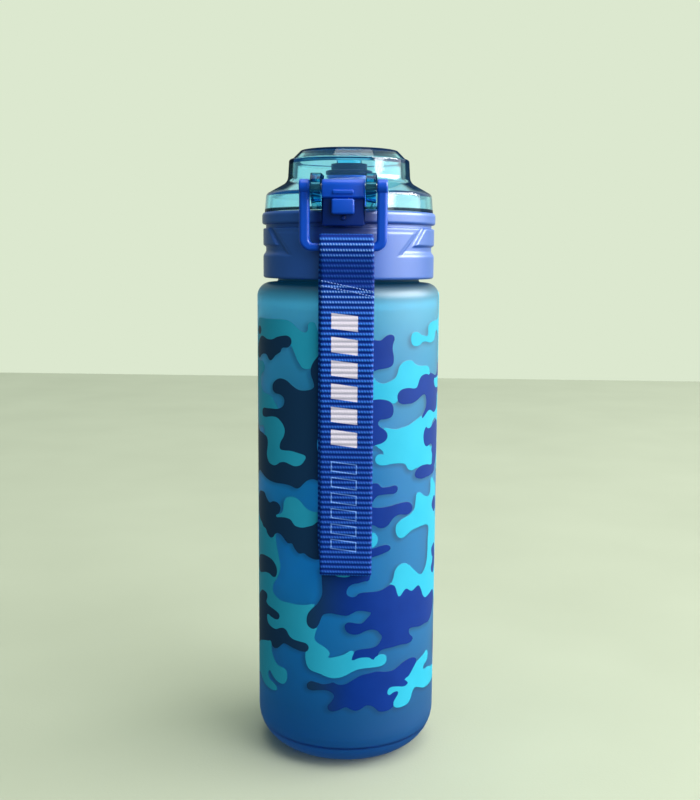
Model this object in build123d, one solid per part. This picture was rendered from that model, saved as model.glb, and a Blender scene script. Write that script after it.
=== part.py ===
from build123d import *
import os
from math import cos, radians, tan

# A drinking bottle with a screw lid, a spring-hinged clear cover, a latch, a locking bail and a strap.
# Millimetres. The origin is the centre of the foot, +Z is up, the latch faces -Y, the hinge is at +Y.

# Clearances
CLEAR = 0.3  # between curved faces that move past each other
SEAT = 0.2  # between pieces that close on one another
FIT = 0.05  # radial, between a pin and what turns on it
TIGHT = 0.02  # radial, between a pin and what holds it

# Bottle body
BODY_R = 37.0
BODY_WALL = 2.0
FLOOR_T = 3.0
BASE_CORNER_R = 15.0
FOOT_W = 3.5
FOOT_RECESS = 1.5
SHOULDER_Z = 193.2
SHOULDER_CORNER_R = 5.5
SHOULDER_RISE = 0.6
NECK_IN = 8.4  # from the body's side to the neck's
NECK_WALL = 2.2
NECK_H = 18.8
RIM_ROUND = 0.6

# Screw thread, right-handed, one start
THREAD_PITCH = 4.5
THREAD_TURNS = 1.25
THREAD_DEPTH = 1.3
THREAD_ROOT_W = 2.2
THREAD_CREST_W = 1.0
THREAD_SINK = 0.3  # how deep a ridge is rooted in its wall
THREAD_CREST_GAP = 0.7  # from a crest to the wall opposite
THREAD_FLANK_GAP = 0.35
NECK_THREAD_UP = 6.8  # from the shoulder to the middle of the neck's ridge where it starts

# Seal ring on the bottle's rim
SEAL_T = 1.8
SEAL_IN = 0.4  # from the neck's bore to the seal's
SEAL_OUT = 0.3  # from the neck's side to the seal's

# Inner cap with its spout
CAP_SKIRT_T = 1.4
CAP_SKIRT_UP = 1.0  # how far the skirt stops above the collar's lower edge
DECK_T = 2.5
LIP_T = 1.8
LIP_DEPTH = 4.3
RIB_IN = 3.0  # from the cap's side to the middle of its rib
RIB_T = 2.0
SPOUT_R = 8.5
SPOUT_WALL = 2.0
SPOUT_UP = 14.2  # from the collar's top to the spout's
SPOUT_BEAD = 0.5
SPOUT_BEAD_H = 2.0

# Air valve in the deck
VALVE_Y = 14.0
VALVE_HEAD_R = 3.2
VALVE_HEAD_H = 1.2
VALVE_STEM_R = 1.5
VALVE_BULB_R = 2.3
VALVE_BULB_H = 1.8

# Collar, the outer grip shell of the lid
LID_GAP = 2.1  # from the shoulder to the collar
LID_H = 26.0
COLLAR_WALL = 2.3
COLLAR_TOP_OUT = 0.4  # how far its top band stands out further than the rest
COLLAR_GROOVE = 1.1
COLLAR_DECK_T = 2.0
COLLAR_HOLE_R = 20.0
COLLAR_ROUND = 0.7
TOP_BAND_H = 4.8
TOP_GROOVE_H = 1.8
LOWER_BAND_H = 8.9
LOWER_SLOPE_H = 2.0
BLOCK_BOTTOM_UP = 12.6  # from the lower edge to the side grips
PANEL_TOP_HALF_W = 28.9
PANEL_BOTTOM_HALF_W = 21.7
VALLEY_W = 3.0

# Clear cover
COVER_WALL = 1.8
COVER_H = 24.7
COVER_IN = 1.0  # from the collar's top band to the cover's foot
COVER_BAND_IN = 0.6
COVER_BAND_H = 7.0
COVER_SLOPE = 28.9  # degrees below level
COVER_WAIST_IN = 8.65  # from its band to its waist
COVER_CROWN_IN = 0.55  # and so on, inwards, up to the flat top
COVER_LEDGE_IN = 1.2
COVER_LEDGE_DOWN = 4.0  # from the top to the ledge
COVER_TOP_IN = 3.5
COVER_CROWN_RISE = 0.5
BAND_ROUND = 2.0
WAIST_ROUND = 3.9
LEDGE_ROUND = 0.9
TOP_ROUND = 0.8
INNER_ROUND = 0.1

# Spout plug and the boss that holds it
BOSS_R = 5.0
PLUG_TIP_R = 4.6
PLUG_REACH = 3.0  # into the spout
PLUG_TAPER = 0.45  # radius lost for each millimetre down
PLUG_FLANGE_R = 9.4
PLUG_FLANGE_T = 2.2
PLUG_NECK_R = 7.2
PLUG_NECK_H = 2.6
PLUG_FLOOR_T = 0.7

# Rear hinge
HINGE_OUT = 2.7  # from the collar's top band to the axis
HINGE_UP = 3.2  # axis above the collar's top
HINGE_PIN_R = 1.25
KNUCKLE_R = 3.2
KNUCKLE_INNER_X = 3.2
KNUCKLE_OUTER_X = 6.2
LUG_R = 3.8
LUG_W = 4.5
BRACKET_BACK_T = 1.4
BRACKET_RISE = 5.2  # from its foot to where it stands out fully

# Hinge spring
WIRE_BEAD = 0.03
SPRING_WIRE = 0.7
SPRING_R = 2.2
SPRING_TURNS = 5.25
SPRING_LEG_DOWN = 9.5
SPRING_LEG_FORWARD = 3.6
TAB_T = 2.2

# Latch, its pin and its spring
PIN_OUT = 4.0  # from the collar's top band to the axis
PIN_UP = 8.1  # axis above the collar's top
LATCH_PIN_R = 1.25
LATCH_HALF_W = 7.9
LATCH_R = 2.8
LATCH_HOOK_DOWN = 1.2  # from the collar's top groove to the latch's lower end
LATCH_PLATE_T = 3.3
HOOK_T = 1.0
LATCH_TOE_R = 2.0
PAD_W = 8.7
PAD_DOWN = 4.4  # from the pin to the top of the pad
PAD_H = 5.6
PAD_RISE = 1.2
RIDGE_W = 8.4
RIDGE_DOWN = 1.3  # from the pin to the top of the ridge
RIDGE_H = 1.5
RIDGE_RISE = 0.7
LATCH_EDGE_ROUND = 0.5
LATCH_SIDE_ROUND = 0.6
LATCH_WIRE = 0.5
LATCH_SPRING_R = 1.75
LATCH_SPRING_TURNS = 6.25
LATCH_POCKET_HALF_W = 2.5
LATCH_LEG_DOWN = 6.5

# Ears of the cover that carry the latch and the bail
EAR_GAP = 0.4
EAR_T = 3.7
EAR_R = 5.0

# Locking bail
BAIL_ARM_W = 3.9
BAIL_ARM_D = 3.6
BAIL_BAR_H = 3.0
BAIL_DROP = 23.4  # from the pin to the bail's lower edge
BAIL_CORNER_R = 4.5
BAIL_INNER_R = 1.5
BAIL_EDGE_ROUND = 1.2
BAIL_END_ROUND = 0.7
BAIL_SOCKET = 3.1

# Carrying strap
STRAP_W = 20.0
STRAP_T = 1.4
STRAP_X = 1.7  # it hangs a little to one side of the bail
STRAP_BOTTOM_Z = 83.0
STRAP_TAPER_H = 12.5  # from the bar to where its two layers meet
STRAP_LAYER_GAP = 0.3
STRAP_BAR_GAP = 0.7
STRAP_BODY_GAP = 0.35
SEAM_DOWN = 5.0  # from where the layers meet to the seam
SEAM_TILT = -17.0
SEAM_ROW_GAP = 2.2
STITCH_COUNT = 10
STITCH_L = 1.3
STITCH_W = 0.45
STITCH_RISE = 0.3

# Places worked out from the sizes above
RIM_Z = SHOULDER_Z + NECK_H
LID_BOTTOM_Z = SHOULDER_Z + LID_GAP
LID_TOP_Z = LID_BOTTOM_Z + LID_H
FOOT_INNER_R = BODY_R - BASE_CORNER_R - FOOT_W
NECK_R = BODY_R - NECK_IN
NECK_BORE_R = NECK_R - NECK_WALL
CAP_BORE_R = NECK_R + THREAD_DEPTH + THREAD_CREST_GAP
CAP_R = CAP_BORE_R + CAP_SKIRT_T
COLLAR_BORE_R = CAP_R + SEAT
COLLAR_R = COLLAR_BORE_R + COLLAR_WALL
COLLAR_TOP_R = COLLAR_R + COLLAR_TOP_OUT
COLLAR_FLOOR_R = COLLAR_R - COLLAR_GROOVE
CAP_BOTTOM_Z = LID_BOTTOM_Z + CAP_SKIRT_UP
DECK_BOTTOM_Z = RIM_Z + SEAL_T
DECK_TOP_Z = DECK_BOTTOM_Z + DECK_T
COLLAR_DECK_Z = LID_TOP_Z - COLLAR_DECK_T
PLATEAU_R = COLLAR_HOLE_R - SEAT
PLATEAU_Z = LID_TOP_Z - CLEAR
PLATEAU_CEILING_Z = PLATEAU_Z - COLLAR_DECK_T
SPOUT_TOP_Z = LID_TOP_Z + SPOUT_UP
SPOUT_BORE_R = SPOUT_R - SPOUT_WALL
GROOVE_TOP_Z = LID_TOP_Z - TOP_BAND_H
GROOVE_BOTTOM_Z = GROOVE_TOP_Z - TOP_GROOVE_H
BRACKET_FOOT_Z = GROOVE_BOTTOM_Z - BRACKET_RISE
COVER_BOTTOM_Z = LID_TOP_Z + SEAT
COVER_FOOT_R = COLLAR_TOP_R - COVER_IN
COVER_BAND_R = COVER_FOOT_R - COVER_BAND_IN
COVER_WAIST_R = COVER_BAND_R - COVER_WAIST_IN
COVER_CROWN_R = COVER_WAIST_R - COVER_CROWN_IN
COVER_LEDGE_R = COVER_CROWN_R - COVER_LEDGE_IN
COVER_TOP_R = COVER_LEDGE_R - COVER_TOP_IN
COVER_TOP_Z = COVER_BOTTOM_Z + COVER_H
COVER_CEILING_Z = COVER_TOP_Z - COVER_WALL
HINGE = (COLLAR_TOP_R + HINGE_OUT, LID_TOP_Z + HINGE_UP)
LUG_INNER_X = KNUCKLE_OUTER_X + CLEAR
LUG_OUTER_X = LUG_INNER_X + LUG_W
STRAP_RUN_R = STRAP_T + STRAP_LAYER_GAP / 2
PIN_Y = -max(COLLAR_TOP_R + PIN_OUT, BODY_R + STRAP_BODY_GAP + STRAP_RUN_R)
PIN_Z = LID_TOP_Z + PIN_UP
PIN = (PIN_Y, PIN_Z)
LATCH_BOTTOM_Z = GROOVE_TOP_Z - LATCH_HOOK_DOWN
EAR_INNER_X = LATCH_HALF_W + EAR_GAP
EAR_OUTER_X = EAR_INNER_X + EAR_T
BAIL_INNER_X = EAR_OUTER_X + EAR_GAP
BAIL_OUTER_X = BAIL_INNER_X + BAIL_ARM_W
BAIL_BOTTOM_Z = PIN_Z - BAIL_DROP
BAR = (PIN_Y, BAIL_BOTTOM_Z + BAIL_BAR_H / 2)
LATCH_FRONT_Y = PIN_Y - LATCH_R
LATCH_BACK_Y = LATCH_FRONT_Y + LATCH_PLATE_T
STRAP_FOLD_R = BAIL_ARM_D / 2 + STRAP_BAR_GAP
STRAP_STRAIGHT_Z = BAR[1] - STRAP_TAPER_H
SEAM_Z = STRAP_STRAIGHT_Z - SEAM_DOWN
PLUG_SHOULDER_Z = SPOUT_TOP_Z + CLEAR


def section(corners):
    """A closed outline through the corners; a corner's third number rounds it."""
    outline = make_face(Polyline(*[corner[:2] for corner in corners], close=True))
    for corner in corners:
        if len(corner) == 3:
            vertex = outline.vertices().sort_by_distance(Vector(*corner[:2]))[0]
            outline = fillet(vertex, corner[2])
    return outline


def turned(corners):
    """The solid that a half section of (radius, height) corners makes about the bottle's axis."""
    return revolve(Plane.XZ * section(corners), Axis.Z)


def slab(outline, x0, x1):
    """An outline drawn in (y, z), made solid from x0 to x1."""
    return extrude(Plane.YZ.offset(x0) * outline, x1 - x0)


def pair(outline, x0, x1):
    """The same slab on both sides of the middle."""
    return slab(outline, x0, x1) + slab(outline, -x1, -x0)


def disc(centre, radius):
    """A round outline at a (y, z) place."""
    return Pos(*centre) * Circle(radius)


def rod(centre, radius, x0, x1):
    """A round bar along X."""
    return slab(disc(centre, radius), x0, x1)


def ring(inner_r, outer_r, z0, z1):
    """A plain ring about the bottle's axis."""
    return turned([(inner_r, z0), (outer_r, z0), (outer_r, z1), (inner_r, z1)])


def thread_ridge(wall_r, side, start_z):
    """A screw ridge that stands out from a wall, outwards for side 1 and inwards for side -1."""
    root, crest = THREAD_ROOT_W / 2, THREAD_CREST_W / 2
    foot_r = wall_r - side * THREAD_SINK
    crest_r = wall_r + side * THREAD_DEPTH
    profile = section([(foot_r, -root), (crest_r, -crest), (crest_r, crest), (foot_r, root)])
    path = Helix(THREAD_PITCH, THREAD_PITCH * THREAD_TURNS, wall_r)
    return Pos(0, 0, start_z) * sweep(Plane.XZ * profile, path, is_frenet=True)


def coil(centre, mean_r, wire, turns, half_w, start):
    """The turns of a torsion spring about a pin along X; start is 90 at the back of the pin and 180 on top."""
    path = Helix(2 * half_w / turns, 2 * half_w, mean_r)
    wire_end = Plane(origin=path @ 0, z_dir=path % 0) * Circle(wire / 2)
    turns_up_z = sweep(wire_end, path, is_frenet=True)
    return Pos(-half_w, *centre) * Rot(0, 90, 0) * Rot(0, 0, start) * turns_up_z


def leg(start, end, wire):
    """A straight end of spring wire, with a small bead where it leaves the turns."""
    line = Line(start, end)
    straight = sweep(Plane(origin=line @ 0, z_dir=line % 0) * Circle(wire / 2), line)
    return straight + Pos(*start) * Sphere(wire / 2 + WIRE_BEAD)


# ---- Bottle ----


def bottle_body():
    inner_r = BODY_R - BODY_WALL
    shell = turned([
        (0, FOOT_RECESS),
        (FOOT_INNER_R - FOOT_RECESS, FOOT_RECESS),
        (FOOT_INNER_R, 0),
        (BODY_R, 0, BASE_CORNER_R),
        (BODY_R, SHOULDER_Z, SHOULDER_CORNER_R),
        (NECK_R, SHOULDER_Z + SHOULDER_RISE, 1.0),
        (NECK_R, RIM_Z, RIM_ROUND),
        (NECK_BORE_R, RIM_Z, RIM_ROUND),
        (NECK_BORE_R, SHOULDER_Z - BODY_WALL, 2 * BODY_WALL),
        (inner_r, SHOULDER_Z - BODY_WALL, SHOULDER_CORNER_R - BODY_WALL),
        (inner_r, FLOOR_T, BASE_CORNER_R - BODY_WALL),
        (0, FLOOR_T),
    ])
    return shell + thread_ridge(NECK_R, 1, SHOULDER_Z + NECK_THREAD_UP)


def neck_seal_ring():
    return ring(NECK_BORE_R + SEAL_IN, NECK_R + SEAL_OUT, RIM_Z, DECK_BOTTOM_Z)


# ---- Lid ----


def inner_cap():
    lip_r = NECK_BORE_R - CLEAR
    rib_r = CAP_R - RIB_IN
    rib_in, rib_out = rib_r - RIB_T / 2, rib_r + RIB_T / 2
    plateau_in = PLATEAU_R - COLLAR_DECK_T
    shell = turned([
        (CAP_BORE_R, CAP_BOTTOM_Z),
        (CAP_R, CAP_BOTTOM_Z),
        (CAP_R, DECK_TOP_Z, 1.0),
        (rib_out, DECK_TOP_Z),
        (rib_out, COLLAR_DECK_Z),
        (rib_in, COLLAR_DECK_Z),
        (rib_in, DECK_TOP_Z),
        (PLATEAU_R, DECK_TOP_Z),
        (PLATEAU_R, PLATEAU_Z, 0.6),
        (SPOUT_R, PLATEAU_Z, 1.5),
        (SPOUT_R, SPOUT_TOP_Z - SPOUT_BEAD_H - SPOUT_BEAD),
        (SPOUT_R + SPOUT_BEAD, SPOUT_TOP_Z - SPOUT_BEAD_H),
        (SPOUT_R + SPOUT_BEAD, SPOUT_TOP_Z, 0.6),
        (SPOUT_BORE_R, SPOUT_TOP_Z, 0.4),
        (SPOUT_BORE_R, PLATEAU_CEILING_Z, 0.6),
        (plateau_in, PLATEAU_CEILING_Z, 1.0),
        (plateau_in, DECK_BOTTOM_Z),
        (lip_r - LIP_T, DECK_BOTTOM_Z),
        (lip_r - LIP_T, DECK_BOTTOM_Z - LIP_DEPTH),
        (lip_r, DECK_BOTTOM_Z - LIP_DEPTH, 0.5),
        (lip_r, DECK_BOTTOM_Z),
        (CAP_BORE_R, DECK_BOTTOM_Z),
    ])
    slope = (THREAD_ROOT_W - THREAD_CREST_W) / 2 / THREAD_DEPTH
    drop = (THREAD_ROOT_W + THREAD_CREST_W) / 2 - slope * THREAD_CREST_GAP + THREAD_FLANK_GAP
    ridge = thread_ridge(CAP_BORE_R, -1, SHOULDER_Z + NECK_THREAD_UP - drop)
    valve_hole = Pos(0, VALVE_Y, PLATEAU_Z) * Cylinder(VALVE_STEM_R + FIT, 3 * COLLAR_DECK_T)
    return shell + ridge - valve_hole


def air_valve():
    bulb_top = PLATEAU_CEILING_Z - SEAT
    return Pos(0, VALVE_Y, 0) * turned([
        (0, bulb_top - VALVE_BULB_H),
        (VALVE_STEM_R, bulb_top - VALVE_BULB_H),
        (VALVE_BULB_R, bulb_top),
        (VALVE_STEM_R, bulb_top),
        (VALVE_STEM_R, PLATEAU_Z),
        (VALVE_HEAD_R, PLATEAU_Z),
        (VALVE_HEAD_R, PLATEAU_Z + VALVE_HEAD_H, VALVE_HEAD_H / 2),
        (0, PLATEAU_Z + VALVE_HEAD_H),
    ])


def collar_shell():
    """The collar's core with its lower band and its top band."""
    lower_band_z = LID_BOTTOM_Z + LOWER_BAND_H
    return turned([
        (COLLAR_BORE_R, LID_BOTTOM_Z),
        (COLLAR_R, LID_BOTTOM_Z, COLLAR_ROUND),
        (COLLAR_R, lower_band_z, COLLAR_ROUND),
        (COLLAR_FLOOR_R, lower_band_z + LOWER_SLOPE_H),
        (COLLAR_FLOOR_R, GROOVE_TOP_Z),
        (COLLAR_TOP_R, GROOVE_TOP_Z, COLLAR_ROUND),
        (COLLAR_TOP_R, LID_TOP_Z, 2 * COLLAR_ROUND),
        (COLLAR_HOLE_R, LID_TOP_Z),
        (COLLAR_HOLE_R, COLLAR_DECK_Z),
        (COLLAR_BORE_R, COLLAR_DECK_Z),
    ])


def collar_panels():
    """The front and back panels: tapered fields level with the lower band."""
    low, high = LID_BOTTOM_Z + LOWER_BAND_H - COLLAR_ROUND, GROOVE_BOTTOM_Z
    outline = Polyline(
        (-PANEL_TOP_HALF_W, high),
        (PANEL_TOP_HALF_W, high),
        (PANEL_BOTTOM_HALF_W, low),
        (-PANEL_BOTTOM_HALF_W, low),
        close=True,
    )
    prism = extrude(Plane.XZ * make_face(outline), 2 * COLLAR_R, both=True)
    return prism & ring(COLLAR_FLOOR_R - SEAT, COLLAR_R, low, high)


def collar_grips():
    """The raised blocks on the collar's two sides, wider at the bottom, a valley away from the panels."""
    low, high = LID_BOTTOM_Z + BLOCK_BOTTOM_UP, GROOVE_BOTTOM_Z
    panel_slope = (PANEL_TOP_HALF_W - PANEL_BOTTOM_HALF_W) / (high - LID_BOTTOM_Z - LOWER_BAND_H)

    def half_width(z):
        panel_x = PANEL_TOP_HALF_W - panel_slope * (high - z)
        return (COLLAR_R**2 - panel_x**2) ** 0.5 - VALLEY_W

    outline = Polyline(
        (-half_width(low), low),
        (half_width(low), low),
        (half_width(high), high),
        (-half_width(high), high),
        close=True,
    )
    prism = slab(make_face(outline), -2 * COLLAR_R, 2 * COLLAR_R)
    return prism & ring(COLLAR_FLOOR_R - SEAT, COLLAR_R, low, high)


def hinge_bracket():
    """Two lugs for the hinge pin behind the collar, with a wall behind the spring's leg."""
    y, z = HINGE
    back_y = y + SPRING_R + SPRING_WIRE / 2 + FIT + BRACKET_BACK_T
    root_y = COLLAR_BORE_R + SEAT
    web_top_z = LID_TOP_Z - COLLAR_DECK_T
    side = section([
        (root_y, BRACKET_FOOT_Z),
        (COLLAR_R, BRACKET_FOOT_Z),
        (back_y, GROOVE_BOTTOM_Z, 2.0),
        (back_y, z),
        (y - LUG_R, z),
        (y - LUG_R, LID_TOP_Z),
        (root_y, LID_TOP_Z),
    ])
    lugs = pair(side + disc(HINGE, LUG_R), LUG_INNER_X, LUG_OUTER_X)
    web = section([
        (back_y - BRACKET_BACK_T, GROOVE_BOTTOM_Z),
        (back_y, GROOVE_BOTTOM_Z),
        (back_y, web_top_z),
        (back_y - BRACKET_BACK_T, web_top_z),
    ])
    foot = section([
        (root_y, BRACKET_FOOT_Z),
        (COLLAR_R, BRACKET_FOOT_Z),
        (back_y, GROOVE_BOTTOM_Z, 2.0),
        (root_y, GROOVE_BOTTOM_Z),
    ])
    middle = slab(web, -LUG_INNER_X, LUG_INNER_X) + slab(foot, -LUG_INNER_X, LUG_INNER_X)
    return lugs + middle


def lid_collar():
    body = collar_shell() + collar_panels() + collar_grips() + hinge_bracket()
    inside = ring(0, COLLAR_BORE_R, LID_BOTTOM_Z, COLLAR_DECK_Z)
    return body - inside - rod(HINGE, HINGE_PIN_R + TIGHT, -LUG_OUTER_X, LUG_OUTER_X)


def hinge_pin():
    return rod(HINGE, HINGE_PIN_R, -LUG_OUTER_X, LUG_OUTER_X)


def hinge_spring():
    """The torsion spring that throws the cover open: one leg under its tab, one against the bracket."""
    y, z = HINGE
    half_w = KNUCKLE_INNER_X - SPRING_WIRE
    back, top = y + SPRING_R, z + SPRING_R
    turns = coil(HINGE, SPRING_R, SPRING_WIRE, SPRING_TURNS, half_w, 90)
    down = leg((-half_w, back, z), (-half_w, back, z - SPRING_LEG_DOWN), SPRING_WIRE)
    under_tab = leg((half_w, y, top), (half_w, y - SPRING_LEG_FORWARD, top), SPRING_WIRE)
    return turns + down + under_tab


# ---- Cover ----


def cover_outline(inset, bottom_z):
    """Half section of the cover's outside, or of its hollow when it is inset by the wall."""
    slope = tan(radians(COVER_SLOPE))
    drop = inset / cos(radians(COVER_SLOPE))
    band_z = COVER_BOTTOM_Z + COVER_BAND_H
    waist_z = band_z + slope * (COVER_BAND_R - COVER_WAIST_R)
    ledge_z = COVER_TOP_Z - COVER_LEDGE_DOWN - inset
    chamfer_shift = inset * tan(radians(45 / 2))
    return [
        (0, bottom_z),
        (COVER_FOOT_R - inset, bottom_z),
        (COVER_BAND_R - inset, band_z + slope * inset - drop, max(BAND_ROUND - inset, INNER_ROUND)),
        (COVER_WAIST_R - inset, waist_z + slope * inset - drop, WAIST_ROUND + inset),
        (COVER_CROWN_R - inset, ledge_z, max(LEDGE_ROUND - inset, INNER_ROUND)),
        (COVER_LEDGE_R - chamfer_shift, ledge_z),
        (COVER_TOP_R - chamfer_shift, COVER_TOP_Z - COVER_CROWN_RISE - inset, max(TOP_ROUND - inset, INNER_ROUND)),
        (0, COVER_TOP_Z - inset),
    ]


def cover_ears():
    """Two round-ended plates in front of the cover that carry the latch pin."""
    root = section([
        (PIN_Y, PIN_Z + EAR_R),
        (-COVER_WAIST_R + COVER_WALL, PIN_Z + EAR_R),
        (-COVER_WAIST_R + COVER_WALL, COVER_BOTTOM_Z),
        (-COVER_FOOT_R, COVER_BOTTOM_Z),
        (PIN_Y, PIN_Z - EAR_R),
    ])
    return pair(root + disc(PIN, EAR_R), EAR_INNER_X, EAR_OUTER_X)


def cover_knuckles():
    """Two knuckles on the hinge pin, joined by a tab over the spring's leg."""
    y, z = HINGE
    tab_z = z + SPRING_R + SPRING_WIRE / 2 + FIT
    arm = section([
        (COVER_BAND_R - COVER_WALL, COVER_BOTTOM_Z + SEAT),
        (y, z - KNUCKLE_R),
        (y, z + KNUCKLE_R),
        (COVER_BAND_R - COVER_WALL, z + KNUCKLE_R),
    ])
    tab = section([
        (COVER_BAND_R - COVER_WALL, tab_z),
        (y - SPRING_R - SPRING_WIRE / 2 - SEAT, tab_z),
        (y - SPRING_R - SPRING_WIRE / 2 - SEAT, tab_z + TAB_T),
        (COVER_BAND_R - COVER_WALL, tab_z + TAB_T),
    ])
    knuckles = pair(arm + disc(HINGE, KNUCKLE_R), KNUCKLE_INNER_X, KNUCKLE_OUTER_X)
    return knuckles + slab(tab, -KNUCKLE_INNER_X, KNUCKLE_INNER_X)


def dust_cover():
    boss_bottom = PLUG_SHOULDER_Z + PLUG_FLANGE_T + PLUG_FLOOR_T
    body = turned(cover_outline(0, COVER_BOTTOM_Z)) + cover_ears() + cover_knuckles()
    hollow = turned(cover_outline(COVER_WALL, COVER_BOTTOM_Z))
    boss = ring(0, BOSS_R, boss_bottom, COVER_CEILING_Z)
    hinge_bore = rod(HINGE, HINGE_PIN_R + FIT, -LUG_INNER_X, LUG_INNER_X)
    latch_bore = rod(PIN, LATCH_PIN_R + TIGHT, -BAIL_INNER_X, BAIL_INNER_X)
    return body - hollow + boss - hinge_bore - latch_bore


def spout_plug():
    """The soft plug that the boss holds in the spout while the cover is shut."""
    top_z = PLUG_SHOULDER_Z + PLUG_FLANGE_T + PLUG_NECK_H
    floor_z = PLUG_SHOULDER_Z + PLUG_FLANGE_T + PLUG_FLOOR_T
    tip_z = PLUG_SHOULDER_Z - PLUG_REACH
    return turned([
        (0, tip_z),
        (PLUG_TIP_R, tip_z, 1.0),
        (PLUG_TIP_R + PLUG_TAPER * PLUG_REACH, PLUG_SHOULDER_Z),
        (PLUG_FLANGE_R, PLUG_SHOULDER_Z, 0.6),
        (PLUG_FLANGE_R, PLUG_SHOULDER_Z + PLUG_FLANGE_T, 0.6),
        (PLUG_NECK_R, PLUG_SHOULDER_Z + PLUG_FLANGE_T),
        (PLUG_NECK_R, top_z),
        (BOSS_R + FIT, top_z),
        (BOSS_R + FIT, floor_z),
        (0, floor_z),
    ])


# ---- Latch and bail ----


def latch():
    """The lever between the ears; its toe hooks in under the collar's top band."""
    hook_y = -COLLAR_TOP_R - CLEAR
    plate = section([
        (LATCH_FRONT_Y, PIN_Z),
        (LATCH_FRONT_Y, LATCH_BOTTOM_Z, LATCH_TOE_R),
        (hook_y, LATCH_BOTTOM_Z),
        (hook_y, LATCH_BOTTOM_Z + HOOK_T),
        (LATCH_BACK_Y, LATCH_BOTTOM_Z + HOOK_T, 0.8),
        (LATCH_BACK_Y, PIN_Z),
    ])
    body = slab(plate + disc(PIN, LATCH_R), -LATCH_HALF_W, LATCH_HALF_W)
    outer_y = LATCH_FRONT_Y + LATCH_TOE_R / 2
    sides = body.faces().filter_by(Axis.X).edges()
    seen = [edge for edge in sides if edge.center().Y < outer_y or edge.center().Z > PIN_Z]
    body = fillet(seen, LATCH_SIDE_ROUND)
    body += raised_bar(PAD_W, PAD_H, PAD_DOWN, PAD_RISE)
    body += raised_bar(RIDGE_W, RIDGE_H, RIDGE_DOWN, RIDGE_RISE)
    return body - spring_pocket() - rod(PIN, LATCH_PIN_R + FIT, -LATCH_HALF_W, LATCH_HALF_W)


def raised_bar(width, height, down, rise):
    """A thumb grip that stands out of the latch's front, down from the pin, with rounded front edges."""
    depth = LATCH_EDGE_ROUND + rise
    y = LATCH_FRONT_Y - rise + depth / 2
    bar = Pos(0, y, PIN_Z - down - height / 2) * Box(width, depth, height)
    return fillet(bar.faces().sort_by(Axis.Y)[0].edges(), LATCH_EDGE_ROUND)


def spring_pocket():
    """Room in the latch for its spring, open to the back, with a slot for the leg that pushes it shut."""
    pocket_r = LATCH_SPRING_R + LATCH_WIRE / 2 + SEAT
    y, z = PIN
    open_back = section([
        (y, z - pocket_r),
        (y + LATCH_R + CLEAR, z - pocket_r),
        (y + LATCH_R + CLEAR, z + pocket_r),
        (y, z + pocket_r),
    ])
    slot_front, slot_back = y - pocket_r, y - LATCH_SPRING_R + LATCH_WIRE / 2 + FIT
    slot = section([
        (slot_front, z),
        (slot_front, z - LATCH_LEG_DOWN - SEAT),
        (slot_back, z - LATCH_LEG_DOWN - SEAT),
        (slot_back, z),
    ])
    pocket = slab(open_back + disc(PIN, pocket_r), -LATCH_POCKET_HALF_W, LATCH_POCKET_HALF_W)
    return pocket + slab(slot, LATCH_POCKET_HALF_W - 2 * LATCH_WIRE, LATCH_POCKET_HALF_W)


def latch_spring():
    """The small spring on the latch pin: one leg on the cover's slope, one in the latch."""
    y, z = PIN
    half_w = LATCH_POCKET_HALF_W - LATCH_WIRE
    front, top = y - LATCH_SPRING_R, z + LATCH_SPRING_R
    slope_r = COVER_BAND_R - (top - LATCH_WIRE - COVER_BOTTOM_Z - COVER_BAND_H) / tan(radians(COVER_SLOPE))
    turns = coil(PIN, LATCH_SPRING_R, LATCH_WIRE, LATCH_SPRING_TURNS, half_w, 180)
    back = leg((-half_w, y, top), (-half_w, -slope_r - CLEAR, top), LATCH_WIRE)
    down = leg((half_w, front, z), (half_w, front, z - LATCH_LEG_DOWN), LATCH_WIRE)
    return turns + back + down


def latch_pin():
    reach = BAIL_INNER_X + BAIL_SOCKET - CLEAR
    return rod(PIN, LATCH_PIN_R, -reach, reach)


def lock_bail():
    """The U-shaped bail: two arms on the ends of the latch pin, joined by the bar the strap hangs on."""
    height = PIN_Z - BAIL_BOTTOM_Z
    outer = section([
        (-BAIL_OUTER_X, 0, BAIL_CORNER_R),
        (BAIL_OUTER_X, 0, BAIL_CORNER_R),
        (BAIL_OUTER_X, height),
        (-BAIL_OUTER_X, height),
    ])
    inner = section([
        (-BAIL_INNER_X, BAIL_BAR_H, BAIL_INNER_R),
        (BAIL_INNER_X, BAIL_BAR_H, BAIL_INNER_R),
        (BAIL_INNER_X, height),
        (-BAIL_INNER_X, height),
    ])
    face = Plane.XZ.offset(-PIN_Y - BAIL_ARM_D / 2) * Pos(0, BAIL_BOTTOM_Z) * (outer - inner)
    hoop = extrude(face, BAIL_ARM_D)
    rims = [edge for side in hoop.faces().filter_by(Axis.Y) for edge in side.edges() if edge.center().Z < PIN_Z]
    hoop = fillet(rims, BAIL_EDGE_ROUND)
    ends = pair(disc(PIN, LATCH_R), BAIL_INNER_X, BAIL_OUTER_X)
    ends = fillet(ends.edges().filter_by(GeomType.CIRCLE), BAIL_END_ROUND)
    reach = BAIL_INNER_X + BAIL_SOCKET
    return hoop + ends - rod(PIN, LATCH_PIN_R + FIT, -reach, reach)


# ---- Strap ----


def strap_outline(extra):
    """The strap's outline from the side, over the bar and down; extra 0 gives its inside."""
    y, z = BAR
    run_r = STRAP_LAYER_GAP / 2 + extra
    fold = disc(BAR, STRAP_FOLD_R + extra)
    knee = disc((y, STRAP_STRAIGHT_Z), run_r)
    foot = disc((y, STRAP_BOTTOM_Z + STRAP_RUN_R), run_r)
    return make_hull(fold.edges() + knee.edges()) + make_hull(knee.edges() + foot.edges())


def carry_strap():
    x0 = STRAP_X - STRAP_W / 2
    return slab(strap_outline(STRAP_T) - strap_outline(0), x0, x0 + STRAP_W)


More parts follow.
